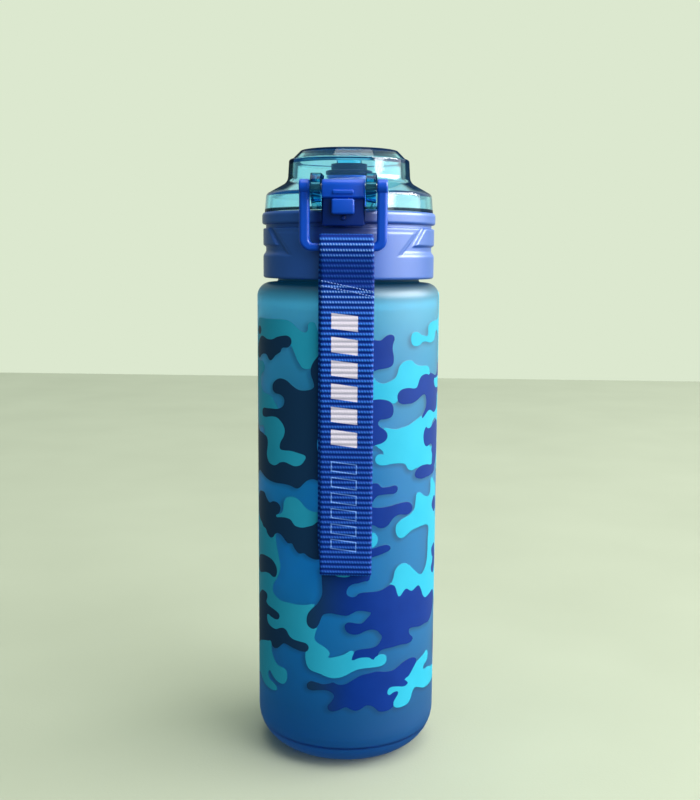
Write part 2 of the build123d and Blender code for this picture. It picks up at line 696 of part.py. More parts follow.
def strap_stitches():
    """Two slanting rows of thread that close the strap's sewn end."""
    step = (STRAP_W - 2 * STITCH_L) / (STITCH_COUNT - 1)
    face_y = PIN_Y - STRAP_RUN_R
    stitches = []
    for row in range(2):
        for i in range(STITCH_COUNT):
            x = STRAP_X + step * (i - (STITCH_COUNT - 1) / 2)
            z = SEAM_Z - row * SEAM_ROW_GAP + tan(radians(SEAM_TILT)) * (x - STRAP_X)
            place = Pos(x, face_y - STITCH_RISE / 2, z) * Rot(0, -SEAM_TILT, 0)
            stitches.append(place * Box(STITCH_L, STITCH_RISE, STITCH_W))
    return Compound(children=stitches)


PIECES = [
    bottle_body,
    neck_seal_ring,
    inner_cap,
    air_valve,
    lid_collar,
    hinge_pin,
    hinge_spring,
    dust_cover,
    spout_plug,
    latch,
    latch_spring,
    latch_pin,
    lock_bail,
    carry_strap,
    strap_stitches,
]

os.makedirs("parts", exist_ok=True)
for piece in PIECES:
    export_step(piece(), f"parts/{piece.__name__}.step")
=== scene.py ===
import math

import bmesh
import bpy
import numpy as np
from mathutils import Matrix, Vector, noise


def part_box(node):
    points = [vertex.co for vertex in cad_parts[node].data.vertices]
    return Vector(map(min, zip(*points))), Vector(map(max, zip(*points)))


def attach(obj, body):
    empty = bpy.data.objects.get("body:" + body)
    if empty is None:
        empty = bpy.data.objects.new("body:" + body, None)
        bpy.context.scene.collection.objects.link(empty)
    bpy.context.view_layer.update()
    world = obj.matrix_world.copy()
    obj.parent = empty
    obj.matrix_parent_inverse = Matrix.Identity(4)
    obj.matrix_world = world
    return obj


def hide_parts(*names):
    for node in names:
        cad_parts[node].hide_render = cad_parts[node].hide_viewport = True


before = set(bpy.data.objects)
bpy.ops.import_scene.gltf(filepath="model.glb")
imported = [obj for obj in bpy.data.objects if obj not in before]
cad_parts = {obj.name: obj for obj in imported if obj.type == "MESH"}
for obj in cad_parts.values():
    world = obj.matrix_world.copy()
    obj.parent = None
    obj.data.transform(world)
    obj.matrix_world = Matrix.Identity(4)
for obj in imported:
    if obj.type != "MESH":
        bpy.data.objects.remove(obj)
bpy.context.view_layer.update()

MM = 0.001


# ---- Table, light and viewpoint ----
# The bottle stands on a wide pale sheet. A big soft window lights it from the right, helped by a patch of
# sky, a weak fill in front and a glow overhead, and a pale wall closes the room behind it. It is seen
# from a bit over its lid.


class Amount:
    """A number or colour that changes over a surface, with sums that add their own nodes."""

    def __init__(self, finish, socket):
        self.finish, self.socket = finish, socket

    def sum(self, operation, *others):
        inputs = {0: self, **{i + 1: other for i, other in enumerate(others)}}
        return self.finish.add("ShaderNodeMath", {"operation": operation}, inputs)

    def __add__(self, other):
        return self.sum("ADD", other)

    def __sub__(self, other):
        return self.sum("SUBTRACT", other)

    def __mul__(self, other):
        return self.sum("MULTIPLY", other)

    def __truediv__(self, other):
        return self.sum("DIVIDE", other)

    def __rsub__(self, other):
        return (self * -1) + other

    __radd__ = __add__
    __rmul__ = __mul__

    def rise(self, low, high):
        """0 up to low and 1 from high on, with a soft start and end; it falls if high is under low."""
        if low > high:
            return 1 - self.rise(high, low)
        settings = {"interpolation_type": "SMOOTHSTEP"}
        inputs = {"Value": self, "From Min": low, "From Max": high}
        return self.finish.add("ShaderNodeMapRange", settings, inputs)


class Finish:
    """A material, built up node by node."""

    def __init__(self, name):
        self.material = bpy.data.materials.new(name)
        self.material.use_nodes = True
        self.tree = self.material.node_tree
        self.tree.nodes.clear()

    def add(self, kind, settings=None, inputs=None, output=0):
        node = self.tree.nodes.new(kind)
        for name, value in (settings or {}).items():
            if name == "stops":
                while len(node.color_ramp.elements) < len(value):
                    node.color_ramp.elements.new(0.5)
                for element, (place, colour) in zip(node.color_ramp.elements, value):
                    element.position, element.color = place, (*colour, 1)
            else:
                setattr(node, name, value)
        for name, value in (inputs or {}).items():
            if isinstance(value, Amount):
                self.tree.links.new(value.socket, node.inputs[name])
            elif isinstance(value, tuple) and len(value) == 3 and node.inputs[name].type == "RGBA":
                node.inputs[name].default_value = (*value, 1)
            else:
                node.inputs[name].default_value = value
        return Amount(self, node.outputs[output]) if len(node.outputs) else None

    def place(self):
        return self.add("ShaderNodeTexCoord", output="Object")

    def axis(self, letter):
        """How far along X, Y or Z, in metres."""
        return self.add("ShaderNodeSeparateXYZ", inputs={0: self.place()}, output=letter)

    def out_squared(self):
        """The square of how far out from the bottle's axis."""
        return self.axis("X") * self.axis("X") + self.axis("Y") * self.axis("Y")

    def noise(self, scale, detail=2.0):
        inputs = {"Vector": self.place(), "Scale": scale, "Detail": detail}
        return self.add("ShaderNodeTexNoise", inputs=inputs)

    def blend(self, factor, first, second):
        """The first colour where the factor is 0 and the second where it is 1."""
        return self.add("ShaderNodeMix", {"data_type": "RGBA"}, {0: factor, 6: first, 7: second}, 2)

    def layer(self, factor, first, second):
        """The first shader where the factor is 0 and the second where it is 1."""
        return self.add("ShaderNodeMixShader", inputs={0: factor, 1: first, 2: second})

    def bump(self, height, distance, strength=1.0):
        inputs = {"Height": height, "Distance": distance, "Strength": strength}
        return self.add("ShaderNodeBump", inputs=inputs)

    def plastic(self, colour, roughness, **more):
        names = {"Base Color": colour, "Roughness": roughness}
        names.update({name.replace("_", " "): value for name, value in more.items()})
        return self.add("ShaderNodeBsdfPrincipled", inputs=names)

    def done(self, shader):
        self.add("ShaderNodeOutputMaterial", inputs={"Surface": shader})
        return self.material


def wear(thing, material):
    """Gives a piece or a carried-over part its finish."""
    thing.data.materials.clear()
    thing.data.materials.append(material)


def colour(red, green, blue):
    """A paint-chart colour, 0 to 255, as the amounts of light it sends back."""
    shares = (red / 255, green / 255, blue / 255)
    return tuple(c / 12.92 if c <= 0.04045 else ((c + 0.055) / 1.055) ** 2.4 for c in shares)


def build(name, bm, smooth=True):
    """Makes a piece of a finished mesh."""
    mesh = bpy.data.meshes.new(name)
    bm.to_mesh(mesh)
    bm.free()
    piece = bpy.data.objects.new(name, mesh)
    bpy.context.scene.collection.objects.link(piece)
    for face in mesh.polygons:
        face.use_smooth = smooth
    return piece


TABLE_SIZE = 1.3  # half its width
bm = bmesh.new()
bmesh.ops.create_grid(bm, x_segments=1, y_segments=1, size=TABLE_SIZE)
table = build("table_sheet", bm, smooth=False)
finish = Finish("pale_sheet")
grain = finish.noise(900, 3)
tone = finish.blend(finish.noise(9, 2), colour(174, 180, 158), colour(186, 192, 170))
wear(table, finish.done(finish.plastic(tone, 0.85, Normal=finish.bump(grain, 0.0002, 0.3))))
table.visible_diffuse = table.visible_glossy = False  # it takes shadows but throws no light up


MID_HEIGHT = 0.13


def soft_light(name, azimuth, elevation, distance, size, power, tint=(1, 1, 1)):
    """An area light that faces the bottle; azimuth 0 is in front and 90 on the right."""
    lamp = bpy.data.lights.new(name, "AREA")
    lamp.shape, lamp.size, lamp.size_y = "RECTANGLE", *size
    lamp.energy, lamp.color = power, tint
    light = bpy.data.objects.new(name, lamp)
    around, up = math.radians(azimuth), math.radians(elevation)
    away = Vector((math.sin(around) * math.cos(up), -math.cos(around) * math.cos(up), math.sin(up)))
    light.location = Vector((0, 0, MID_HEIGHT)) + away * distance
    light.rotation_euler = away.to_track_quat("Z", "Y").to_euler()
    light.visible_camera = False
    bpy.context.scene.collection.objects.link(light)
    return light


soft_light("window_light", 84, 25, 2.4, (3.15, 1.8), 54.0, (1.0, 0.99, 0.97))
soft_light("sky_light", 50, 45, 1.4, (0.6, 0.6), 5.0, (0.95, 0.98, 1.0))
front_fill = soft_light("front_fill", 26, 18, 1.5, (0.9, 0.9), 6.5, (1.0, 0.96, 1.0))
front_fill.visible_glossy = front_fill.visible_transmission = False
window_glint = soft_light("window_glint", 82, 30, 1.6, (1.8, 0.9), 80.0)  # only seen mirrored
window_glint.visible_diffuse = window_glint.visible_transmission = False
sky = bpy.data.lights.new("ceiling_glow", "SUN")
sky.energy, sky.angle = 1.5, math.radians(50)
ceiling = bpy.data.objects.new("ceiling_glow", sky)
ceiling.rotation_euler = Vector((0.12, -0.08, 1.0)).to_track_quat("Z", "Y").to_euler()
bpy.context.scene.collection.objects.link(ceiling)

# A pale wall all over the far and right side, a dim room in front and on the left, and little from below.
PALE_WALL, DIM_ROOM, DIM_FLOOR = (*colour(220, 232, 207), 1), (0.09, 0.165, 0.165, 1), (0.08, 0.13, 0.13, 1)
air = bpy.data.worlds.new("pale_air")
air.use_nodes = True
nodes, links = air.node_tree.nodes, air.node_tree.links
where = nodes.new("ShaderNodeTexCoord")
shade = None
for direction, low, high, dim, lit in (
    ((0.55, 0.81, 0.2), -0.05, 0.72, DIM_ROOM, PALE_WALL),
    ((0.0, 0.0, 1.0), -0.45, -0.2, DIM_FLOOR, None),
):
    toward = nodes.new("ShaderNodeVectorMath")
    toward.operation, toward.inputs[1].default_value = "DOT_PRODUCT", direction
    share = nodes.new("ShaderNodeMapRange")
    share.interpolation_type = "SMOOTHSTEP"
    share.inputs["From Min"].default_value, share.inputs["From Max"].default_value = low, high
    mix = nodes.new("ShaderNodeMix")
    mix.data_type = "RGBA"
    mix.inputs[6].default_value = dim
    if lit:
        mix.inputs[7].default_value = lit
    else:
        links.new(shade, mix.inputs[7])
    links.new(where.outputs["Generated"], toward.inputs[0])
    links.new(toward.outputs["Value"], share.inputs["Value"])
    links.new(share.outputs["Result"], mix.inputs[0])
    shade = mix.outputs[2]
rays = nodes.new("ShaderNodeLightPath")
through = nodes.new("ShaderNodeMath")
through.operation = "MAXIMUM"
links.new(rays.outputs["Is Camera Ray"], through.inputs[0])
links.new(rays.outputs["Is Transmission Ray"], through.inputs[1])
backdrop = nodes.new("ShaderNodeMix")
backdrop.data_type = "RGBA"
backdrop.inputs[7].default_value = PALE_WALL
links.new(through.outputs[0], backdrop.inputs[0])
links.new(shade, backdrop.inputs[6])
links.new(backdrop.outputs[2], nodes["Background"].inputs["Color"])
bpy.context.scene.world = air

LENS_DISTANCE, LENS_HEIGHT = 0.430, 0.2057
LENS_AZIMUTH, LENS_TILT, LENS_TURN, LENS_ROLL = 3.0, 8.03, -0.13, 0.4
eye = bpy.data.cameras.new("eye")
eye.sensor_width, eye.lens = 36.0, 47.16
camera = bpy.data.objects.new("eye", eye)
swung = math.radians(LENS_AZIMUTH)
camera.matrix_world = (
    Matrix.Translation((LENS_DISTANCE * math.sin(swung), -LENS_DISTANCE * math.cos(swung), LENS_HEIGHT))
    @ Matrix.Rotation(math.radians(LENS_AZIMUTH + LENS_TURN), 4, "Z")
    @ Matrix.Rotation(math.radians(90 - LENS_TILT), 4, "X")
    @ Matrix.Rotation(math.radians(LENS_ROLL), 4, "Z")
)
bpy.context.scene.collection.objects.link(camera)
bpy.context.scene.camera = camera
bpy.context.scene.view_settings.view_transform = "Standard"


# ---- Frosted bottle ----
# One blow-moulded body of clear copolyester, tinted blue and frosted on the outside, with a moulded
# screw ridge on its neck. A camouflage print in two inks is rolled on round the straight wall.
BODY_R, BODY_WALL, BASE_R, FLOOR_Z = 37.0, 2.0, 15.0, 3.0
SHOULDER_Z, NECK_R, NECK_BORE_R, RIM_Z = 193.2, 28.6, 26.4, 212.0
FOOT_R, FOOT_HOLLOW_R, FOOT_HOLLOW = 22, 20.5, 1.5
TURNS, THREAD_PITCH, THREAD_STEPS = 1.25, 4.5, 90
PRINT_TURN = 3.0  # degrees from the latch's side to the middle of the print


def soften(bm, geom, offset, segments, affect="EDGES"):
    """Rounds edges, or the corners of a flat outline, by an offset in metres."""
    bmesh.ops.bevel(
        bm, geom=geom, offset=offset, offset_type="OFFSET", segments=segments,
        profile=0.5, affect=affect, material=-1,
    )


def points_of(geom):
    """The points in what a mesh operator returns."""
    return [item for item in geom if isinstance(item, bmesh.types.BMVert)]


def rounded(corners, segments=8):
    """A flat outline in X and Z through (x, z, rounding) corners, in millimetres; returns its mesh."""
    bm = bmesh.new()
    points = [Vector((corner[0] * MM, 0, corner[1] * MM)) for corner in corners]
    verts = [bm.verts.new(point) for point in points]
    bm.faces.new(verts)
    for i, corner in enumerate(corners):
        if len(corner) > 2:
            before, after = points[i - 1] - points[i], points[(i + 1) % len(points)] - points[i]
            cut = corner[2] * MM / math.tan(before.angle(after) / 2)
            soften(bm, [verts[i]], cut, segments, affect="VERTICES")
    return bm


SAME_PLACE, WELD = 1e-7, 2e-6  # metres


def turned(corners, steps, copies, row=None, beyond=0, segments=8):
    """The shape that half a section of (radius, height, rounding) corners makes about the bottle's axis: a
    slice of some steps, doubled until it is round. The section is cut into rows beyond a radius."""
    bm = rounded(corners, segments)
    bmesh.ops.delete(bm, geom=bm.faces[:], context="FACES_ONLY")
    on_axis = [edge for edge in bm.edges if all(abs(vert.co.x) < SAME_PLACE for vert in edge.verts)]
    bmesh.ops.delete(bm, geom=on_axis, context="EDGES")
    for edge in bm.edges[:]:
        if row and min(vert.co.x for vert in edge.verts) > beyond * MM:
            cuts = int(edge.calc_length() / (row * MM))
            if cuts:
                bmesh.ops.subdivide_edges(bm, edges=[edge], cuts=cuts)
    turn = 2 * math.pi / copies
    half = bm.verts[:] + bm.edges[:]
    bmesh.ops.spin(bm, geom=half, cent=(0, 0, 0), axis=(0, 0, 1), angle=turn, steps=steps)
    while turn < 2 * math.pi:
        copy = bmesh.ops.duplicate(bm, geom=bm.verts[:] + bm.edges[:] + bm.faces[:])["geom"]
        onward = Matrix.Rotation(turn, 3, "Z")
        bmesh.ops.rotate(bm, verts=points_of(copy), cent=(0, 0, 0), matrix=onward)
        turn *= 2
    bmesh.ops.remove_doubles(bm, verts=bm.verts[:], dist=WELD)
    bmesh.ops.recalc_face_normals(bm, faces=bm.faces[:])
    return bm


def join(bm, other):
    """Puts a second mesh into the first."""
    part = bpy.data.meshes.new("part")
    other.to_mesh(part)
    other.free()
    bm.from_mesh(part)
    bpy.data.meshes.remove(part)


inner_r = BODY_R - BODY_WALL
bm = turned([
    (0, FOOT_HOLLOW),
    (FOOT_HOLLOW_R, FOOT_HOLLOW),
    (FOOT_R, 0),
    (BODY_R, 0, BASE_R),
    (BODY_R, SHOULDER_Z, 5.5),
    (NECK_R, SHOULDER_Z + 0.6, 1.0),
    (NECK_R, RIM_Z, 0.6),
    (NECK_BORE_R, RIM_Z, 0.6),
    (NECK_BORE_R, SHOULDER_Z - BODY_WALL, 4.0),
    (inner_r, SHOULDER_Z - BODY_WALL, 3.5),
    (inner_r, FLOOR_Z, BASE_R - BODY_WALL),
    (0, FLOOR_Z),
], steps=5, copies=64, row=0.9, beyond=BODY_R - 0.5, segments=12)
ridge = rounded([(28.3, 198.9), (29.9, 199.5, 0.3), (29.9, 200.5, 0.3), (28.3, 201.1)], segments=2)
bmesh.ops.spin(
    ridge, geom=ridge.faces[:], cent=(0, 0, 0), axis=(0, 0, 1), angle=2 * math.pi * TURNS,
    dvec=(0, 0, THREAD_PITCH * MM * TURNS / THREAD_STEPS), steps=THREAD_STEPS,
)
bmesh.ops.recalc_face_normals(ridge, faces=ridge.faces[:])
join(bm, ridge)
bottle = build("frosted_bottle", bm)

# The print's outlines, each a ring of (degrees, height) points, with the degrees counted to the right from
# the print's middle. The bright ink lies partly under the dark ink and partly over it.
DARK_INK = [
    [(-88, 164), (-80, 162), (-72.8, 163.5), (-68.6, 165), (-64.5, 165.7), (-59.9, 165.5), (-57.8, 164.2),
     (-55.2, 163.5), (-52.6, 164.2), (-49, 166), (-44.9, 167.3), (-43.3, 169), (-38.7, 169.3),
     (-35.9, 170.9), (-36.1, 172.7), (-38.7, 173.8), (-42.8, 173.7), (-48, 173), (-53.1, 171.9),
     (-59.3, 171.8), (-64.5, 172.6), (-68.6, 172.5), (-72.8, 171.3), (-80, 170), (-88, 170)],
    [(-84, 173.5), (-77, 172.6), (-71, 173.2), (-68.7, 174.6), (-70.2, 176.2), (-75, 176.6), (-84, 176)],
    [(-16.5, 166.7), (-19.1, 165.7), (-21.3, 163.7), (-22.4, 161.7), (-22.2, 159.3), (-20.9, 157),
     (-20.3, 155), (-21.6, 154), (-25.2, 153.3), (-29.4, 153.2), (-32.5, 153.8), (-35.6, 154.9),
     (-38.7, 156.2), (-41.8, 156.9), (-45.4, 157), (-49, 156.2), (-52.1, 154.7), (-52.9, 153),
     (-52.1, 151.7), (-49.5, 150.9), (-45.4, 150.7), (-42.3, 149.7), (-41.6, 148), (-42.8, 146.3),
     (-45.9, 145.2), (-50, 144.7), (-55.2, 144.5), (-60.4, 144.2), (-64.5, 144), (-67.1, 143),
     (-67.3, 141.3), (-65.5, 140.5), (-61.4, 140.5), (-57.3, 141), (-52.1, 141.5), (-48, 141.3),
     (-44.4, 140), (-42, 138.3), (-41.3, 136.3), (-42.6, 134), (-44.7, 132.3), (-45.7, 130.7),
     (-45.4, 129.1), (-41.8, 128.9), (-36.6, 129.1), (-31.4, 128.7), (-25.8, 127.8), (-26.8, 125.7),
     (-29.4, 124), (-33.5, 123.3), (-37.6, 123.8), (-41.3, 124.3), (-45.4, 123.8), (-49, 122.5),
     (-52.1, 122), (-56.8, 122.5), (-59.3, 124), (-60.2, 126), (-59.3, 128.3), (-58.8, 131), (-60.4, 132.7),
     (-64.5, 133.3), (-69.7, 133.7), (-80, 133.3), (-92, 131), (-92, 120), (-82, 118.3), (-73.8, 117.7),
     (-68.6, 117), (-62.4, 116), (-56.2, 115.3), (-49, 115.2), (-41.8, 115.5), (-36.6, 115.3),
     (-33.5, 114.7), (-30.9, 114.7), (-28.3, 116), (-25.2, 118), (-21.1, 119), (-16.5, 118.7), (-10, 121),
     (-12, 127), (-17, 129.3), (-18.3, 132.5), (-17, 135.8), (-11, 138), (-6, 145), (-8, 155), (-12, 162)],
    [(-85, 106), (-78, 108.4), (-70.2, 109.3), (-64.5, 109.5), (-60.9, 107.7), (-56.8, 106.3),
     (-52.6, 107.3), (-48, 107.3), (-45.1, 105.7), (-46.4, 103.3), (-49.5, 102.1), (-49, 101.3),
     (-44.9, 101.8), (-40.7, 102.1), (-36.6, 101.7), (-34.5, 100.3), (-32.5, 99.5), (-28.3, 99.3),
     (-24.2, 100), (-20.6, 100.9), (-18, 102.3), (-14, 103.5), (-9, 104), (-6, 97), (-8, 90), (-16.5, 87.5),
     (-20.1, 87.3), (-23.7, 88), (-26.8, 89.1), (-30.4, 88.7), (-33.5, 90.3), (-35.6, 92.2), (-39.2, 92),
     (-43.8, 94.3), (-47, 95), (-50, 94.5), (-52.6, 92.7), (-56.2, 92), (-59.9, 93), (-62.4, 94.7),
     (-66.6, 95), (-69.7, 96.3), (-78, 97), (-86, 98)],
    [(-88, 81), (-80, 82), (-72.8, 82.3), (-66.6, 83.2), (-60.4, 83.5), (-55.2, 83.3), (-51.6, 82.3),
     (-49.2, 80.7), (-48.7, 78.7), (-50, 76.7), (-53.1, 76.1), (-57.3, 76.7), (-62.4, 76.5), (-66.6, 75.7),
     (-71.7, 74.7), (-80, 73), (-88, 75)],
    [(-82, 65), (-73.8, 66.3), (-69.7, 67.7), (-64.5, 68.1), (-60.9, 67.7), (-60.4, 66), (-61.9, 64.3),
     (-59.3, 63.3), (-54.2, 62.9), (-49, 62.3), (-46.4, 61.3), (-46.9, 59.7), (-50, 58.8), (-55.2, 59),
     (-59.9, 59.3), (-60.9, 57.7), (-59.3, 55.7), (-55.2, 54.8), (-50, 54.8), (-45.9, 56), (-42.8, 56.5),
     (-40.2, 56), (-37.6, 54), (-34.5, 53.1), (-29.4, 52.8), (-25.2, 52.5), (-23.4, 51), (-24.7, 49.3),
     (-28.3, 48.9), (-33.5, 49.3), (-38.7, 50), (-42.3, 50.2), (-44.9, 49), (-48, 47.3), (-52.1, 46.5),
     (-54.7, 47.3), (-56.2, 48.7), (-58.8, 48.1), (-63.5, 47.3), (-68.6, 46.3), (-73.8, 45.3), (-82, 46),
     (-86, 55)],
    [(-14.9, 84), (-14.7, 75), (-15.4, 72.3), (-18, 69.3), (-21.1, 67.3), (-23.7, 65.3), (-24.9, 63),
     (-24.7, 60.7), (-22.7, 59.3), (-20.1, 59), (-18, 60), (-16.5, 61.7), (-15.4, 63.7), (-13.9, 65.3),
     (-9.8, 66), (-5.6, 65.7), (0, 65.2), (3.1, 66), (6.2, 67), (9.3, 67.1), (12.4, 66.7), (15.3, 65.9),
     (12.4, 63.7), (9.8, 62.1), (6.2, 62.1), (3.1, 62.5), (0.5, 62.4), (-1, 61), (0, 59), (2.1, 58),
     (5.2, 57.5), (8.3, 57.8), (11.4, 58.7), (15.5, 59.2), (19.1, 58.5), (21.2, 57), (22.5, 55.7),
     (21.2, 53.7), (19.1, 52.3), (15.5, 51.7), (10.3, 51.5), (6.2, 51), (4.6, 49.7), (3.6, 47), (7.7, 47.8),
     (11.4, 48), (14.5, 47.7), (17, 46.5), (18.1, 47.7), (20.1, 48.3), (20.7, 49.7), (23.8, 50.5),
     (30, 50.7), (36.2, 50.9), (41.3, 50.5), (45.5, 51), (46.5, 52.3), (43.4, 54.3), (42.9, 56.3),
     (46.5, 56.5), (53.7, 55.7), (59.9, 55.7), (66, 55.5), (73, 57.5), (80, 61), (84, 64), (80, 67.3),
     (72.3, 67.7), (67.1, 67.1), (62, 66.7), (59.4, 66.9), (56.8, 68.3), (54.8, 70.7), (52.7, 72.7),
     (50.6, 73.3), (48, 72.7), (45.5, 72), (43.4, 72.3), (40.3, 73.5), (38.2, 73.1), (36.2, 71.7),
     (34.4, 70.9), (32.9, 72.3), (31.5, 75), (30, 76.1), (27.4, 76.5), (24.8, 75.7), (20.7, 74.7),
     (15.5, 74.5), (10.3, 74.5), (7.2, 74), (5.7, 73), (3.1, 72.8), (0.5, 73.7), (0.2, 75.3), (1.5, 77),
     (4.1, 78), (7.2, 78.3), (11.4, 79), (13.9, 79.3), (14, 84), (5, 83), (2, 81.2), (-2, 80.8),
     (-6.5, 81.3), (-9, 83)],
    [(-24.7, 35.7), (-22.1, 37.3), (-18, 37.1), (-13.9, 36.7), (-9.8, 37.3), (-7.7, 37.8), (-4.6, 37),
     (0, 37.3), (5.2, 39.3), (9.3, 40.7), (14.5, 41.3), (19.6, 41.7), (24.8, 41.1), (30, 41), (34.1, 42),
     (38.2, 43.3), (43.4, 44), (47.5, 43.7), (50.6, 42.2), (50, 38), (44, 33), (36, 30), (33, 26),
     (31, 25.7), (27.9, 24.7), (23.8, 24.5), (20.7, 25), (18.1, 26.7), (15.5, 27.8), (12.4, 28),
     (9.3, 26.7), (6.2, 26.1), (3.1, 26.7), (0, 27.7), (-4.6, 26.3), (-8.2, 25.7), (-10.7, 26.3),
     (-11.1, 28), (-9.3, 29.3), (-7.2, 31.7), (-8.2, 33.3), (-11.8, 34.3), (-17, 34), (-21.1, 33.5),
     (-24.2, 34)],
    [(9, 173), (15, 173), (19.6, 172.8), (22.7, 174.3), (25.3, 174.9), (27.9, 174.5), (28.6, 173),
     (27.6, 171.3), (27.4, 169), (28.2, 166.3), (27.9, 163.7), (25.8, 162.5), (22.2, 162), (18.1, 161.7),
     (15, 161.2), (8, 162.5), (5, 168)],
    [(8, 149.5), (15, 150.1), (19.1, 150.3), (23.8, 149.8), (26.9, 148.7), (28.4, 146.7), (28.2, 144.3),
     (26.4, 143), (22.7, 142.5), (19.6, 142.3), (18.3, 141), (19.6, 139.7), (22.7, 138.3), (24.5, 136.7),
     (24.1, 134.7), (21.2, 133.3), (17.6, 132.7), (15, 132.5), (8, 134), (5, 142)],
    [(31.3, 149.7), (31, 151.3), (32.6, 153), (35.7, 153.8), (39.8, 153.9), (43.9, 153.5), (46.5, 153.7),
     (47.9, 155), (49.1, 156.7), (51.2, 158), (54.8, 158.5), (58.4, 158.3), (61, 157.8), (61.5, 158.7),
     (64.6, 158.3), (69.8, 157.3), (74.9, 157), (84, 157), (87, 150), (80, 143), (72.9, 142.3),
     (68.7, 142.3), (64.6, 143.3), (60.5, 143.7), (56.3, 142.3), (53.2, 141.1), (52.2, 141.4), (53.7, 143),
     (56.3, 145), (57.1, 147.3), (56.3, 149.7), (54.8, 150.5), (52.2, 150.3), (50.1, 149.7), (47, 148.7),
     (42.9, 147.8), (38.8, 147.7), (35.1, 147.8), (32, 148.7)],
    [(54.3, 133.7), (54.8, 135.3), (56.3, 136.9), (57.9, 137.3), (59.9, 136.5), (63.6, 136.5),
     (66.7, 137.3), (70.8, 138.3), (80, 138), (86, 132), (84, 124), (78, 120.6), (70, 120.5), (67.2, 122.3),
     (67.7, 125), (66.1, 127), (66.7, 129), (64.6, 129.9), (61.5, 129.5), (58.9, 129.3), (56.3, 130),
     (54.8, 131.7)],
    [(46, 119.3), (47, 120.7), (49.6, 121.7), (53.7, 122.2), (59.4, 122), (64.6, 121.3), (71, 121),
     (73, 118), (64.6, 117), (58.4, 116.9), (53.2, 116.8), (49.6, 117.3), (47, 118)],
    [(8, 117), (15, 117.7), (18.1, 117.7), (19.6, 117), (21.2, 116), (24.3, 115.9), (27.4, 116),
     (30, 116.3), (32, 115.5), (32, 114), (30, 113), (26.4, 113), (22.2, 113), (18.6, 112.7), (16.5, 111.3),
     (15, 109.6), (15.4, 108.4), (20.2, 108), (26.4, 108.2), (31.5, 108.7), (36.7, 109), (40.8, 108.7),
     (43.7, 107.3), (44.4, 105.7), (42.4, 104.2), (38.8, 103.8), (34.6, 104.3), (31.5, 104), (28.4, 102.7),
     (25.8, 100.7), (22.7, 99.8), (19.6, 100), (16.5, 101.1), (8, 103), (5, 110)],
    [(9, 91), (16.5, 92), (20.7, 92.7), (24.8, 92.9), (27.4, 92), (27.3, 90.7), (24.8, 90), (19.6, 89),
     (13.9, 88.2), (8, 87)],
    [(68.5, 104), (71, 106.3), (76, 108), (84, 107), (88, 103), (84, 99), (76, 99.5), (71.5, 101.7)],
    [(69.5, 85.5), (73, 86.8), (79, 89), (88, 88), (91, 80), (86, 74), (78, 73.5), (72, 75), (69.3, 77.5),
     (72, 79.5), (73, 81.5), (71, 82.6)],
]
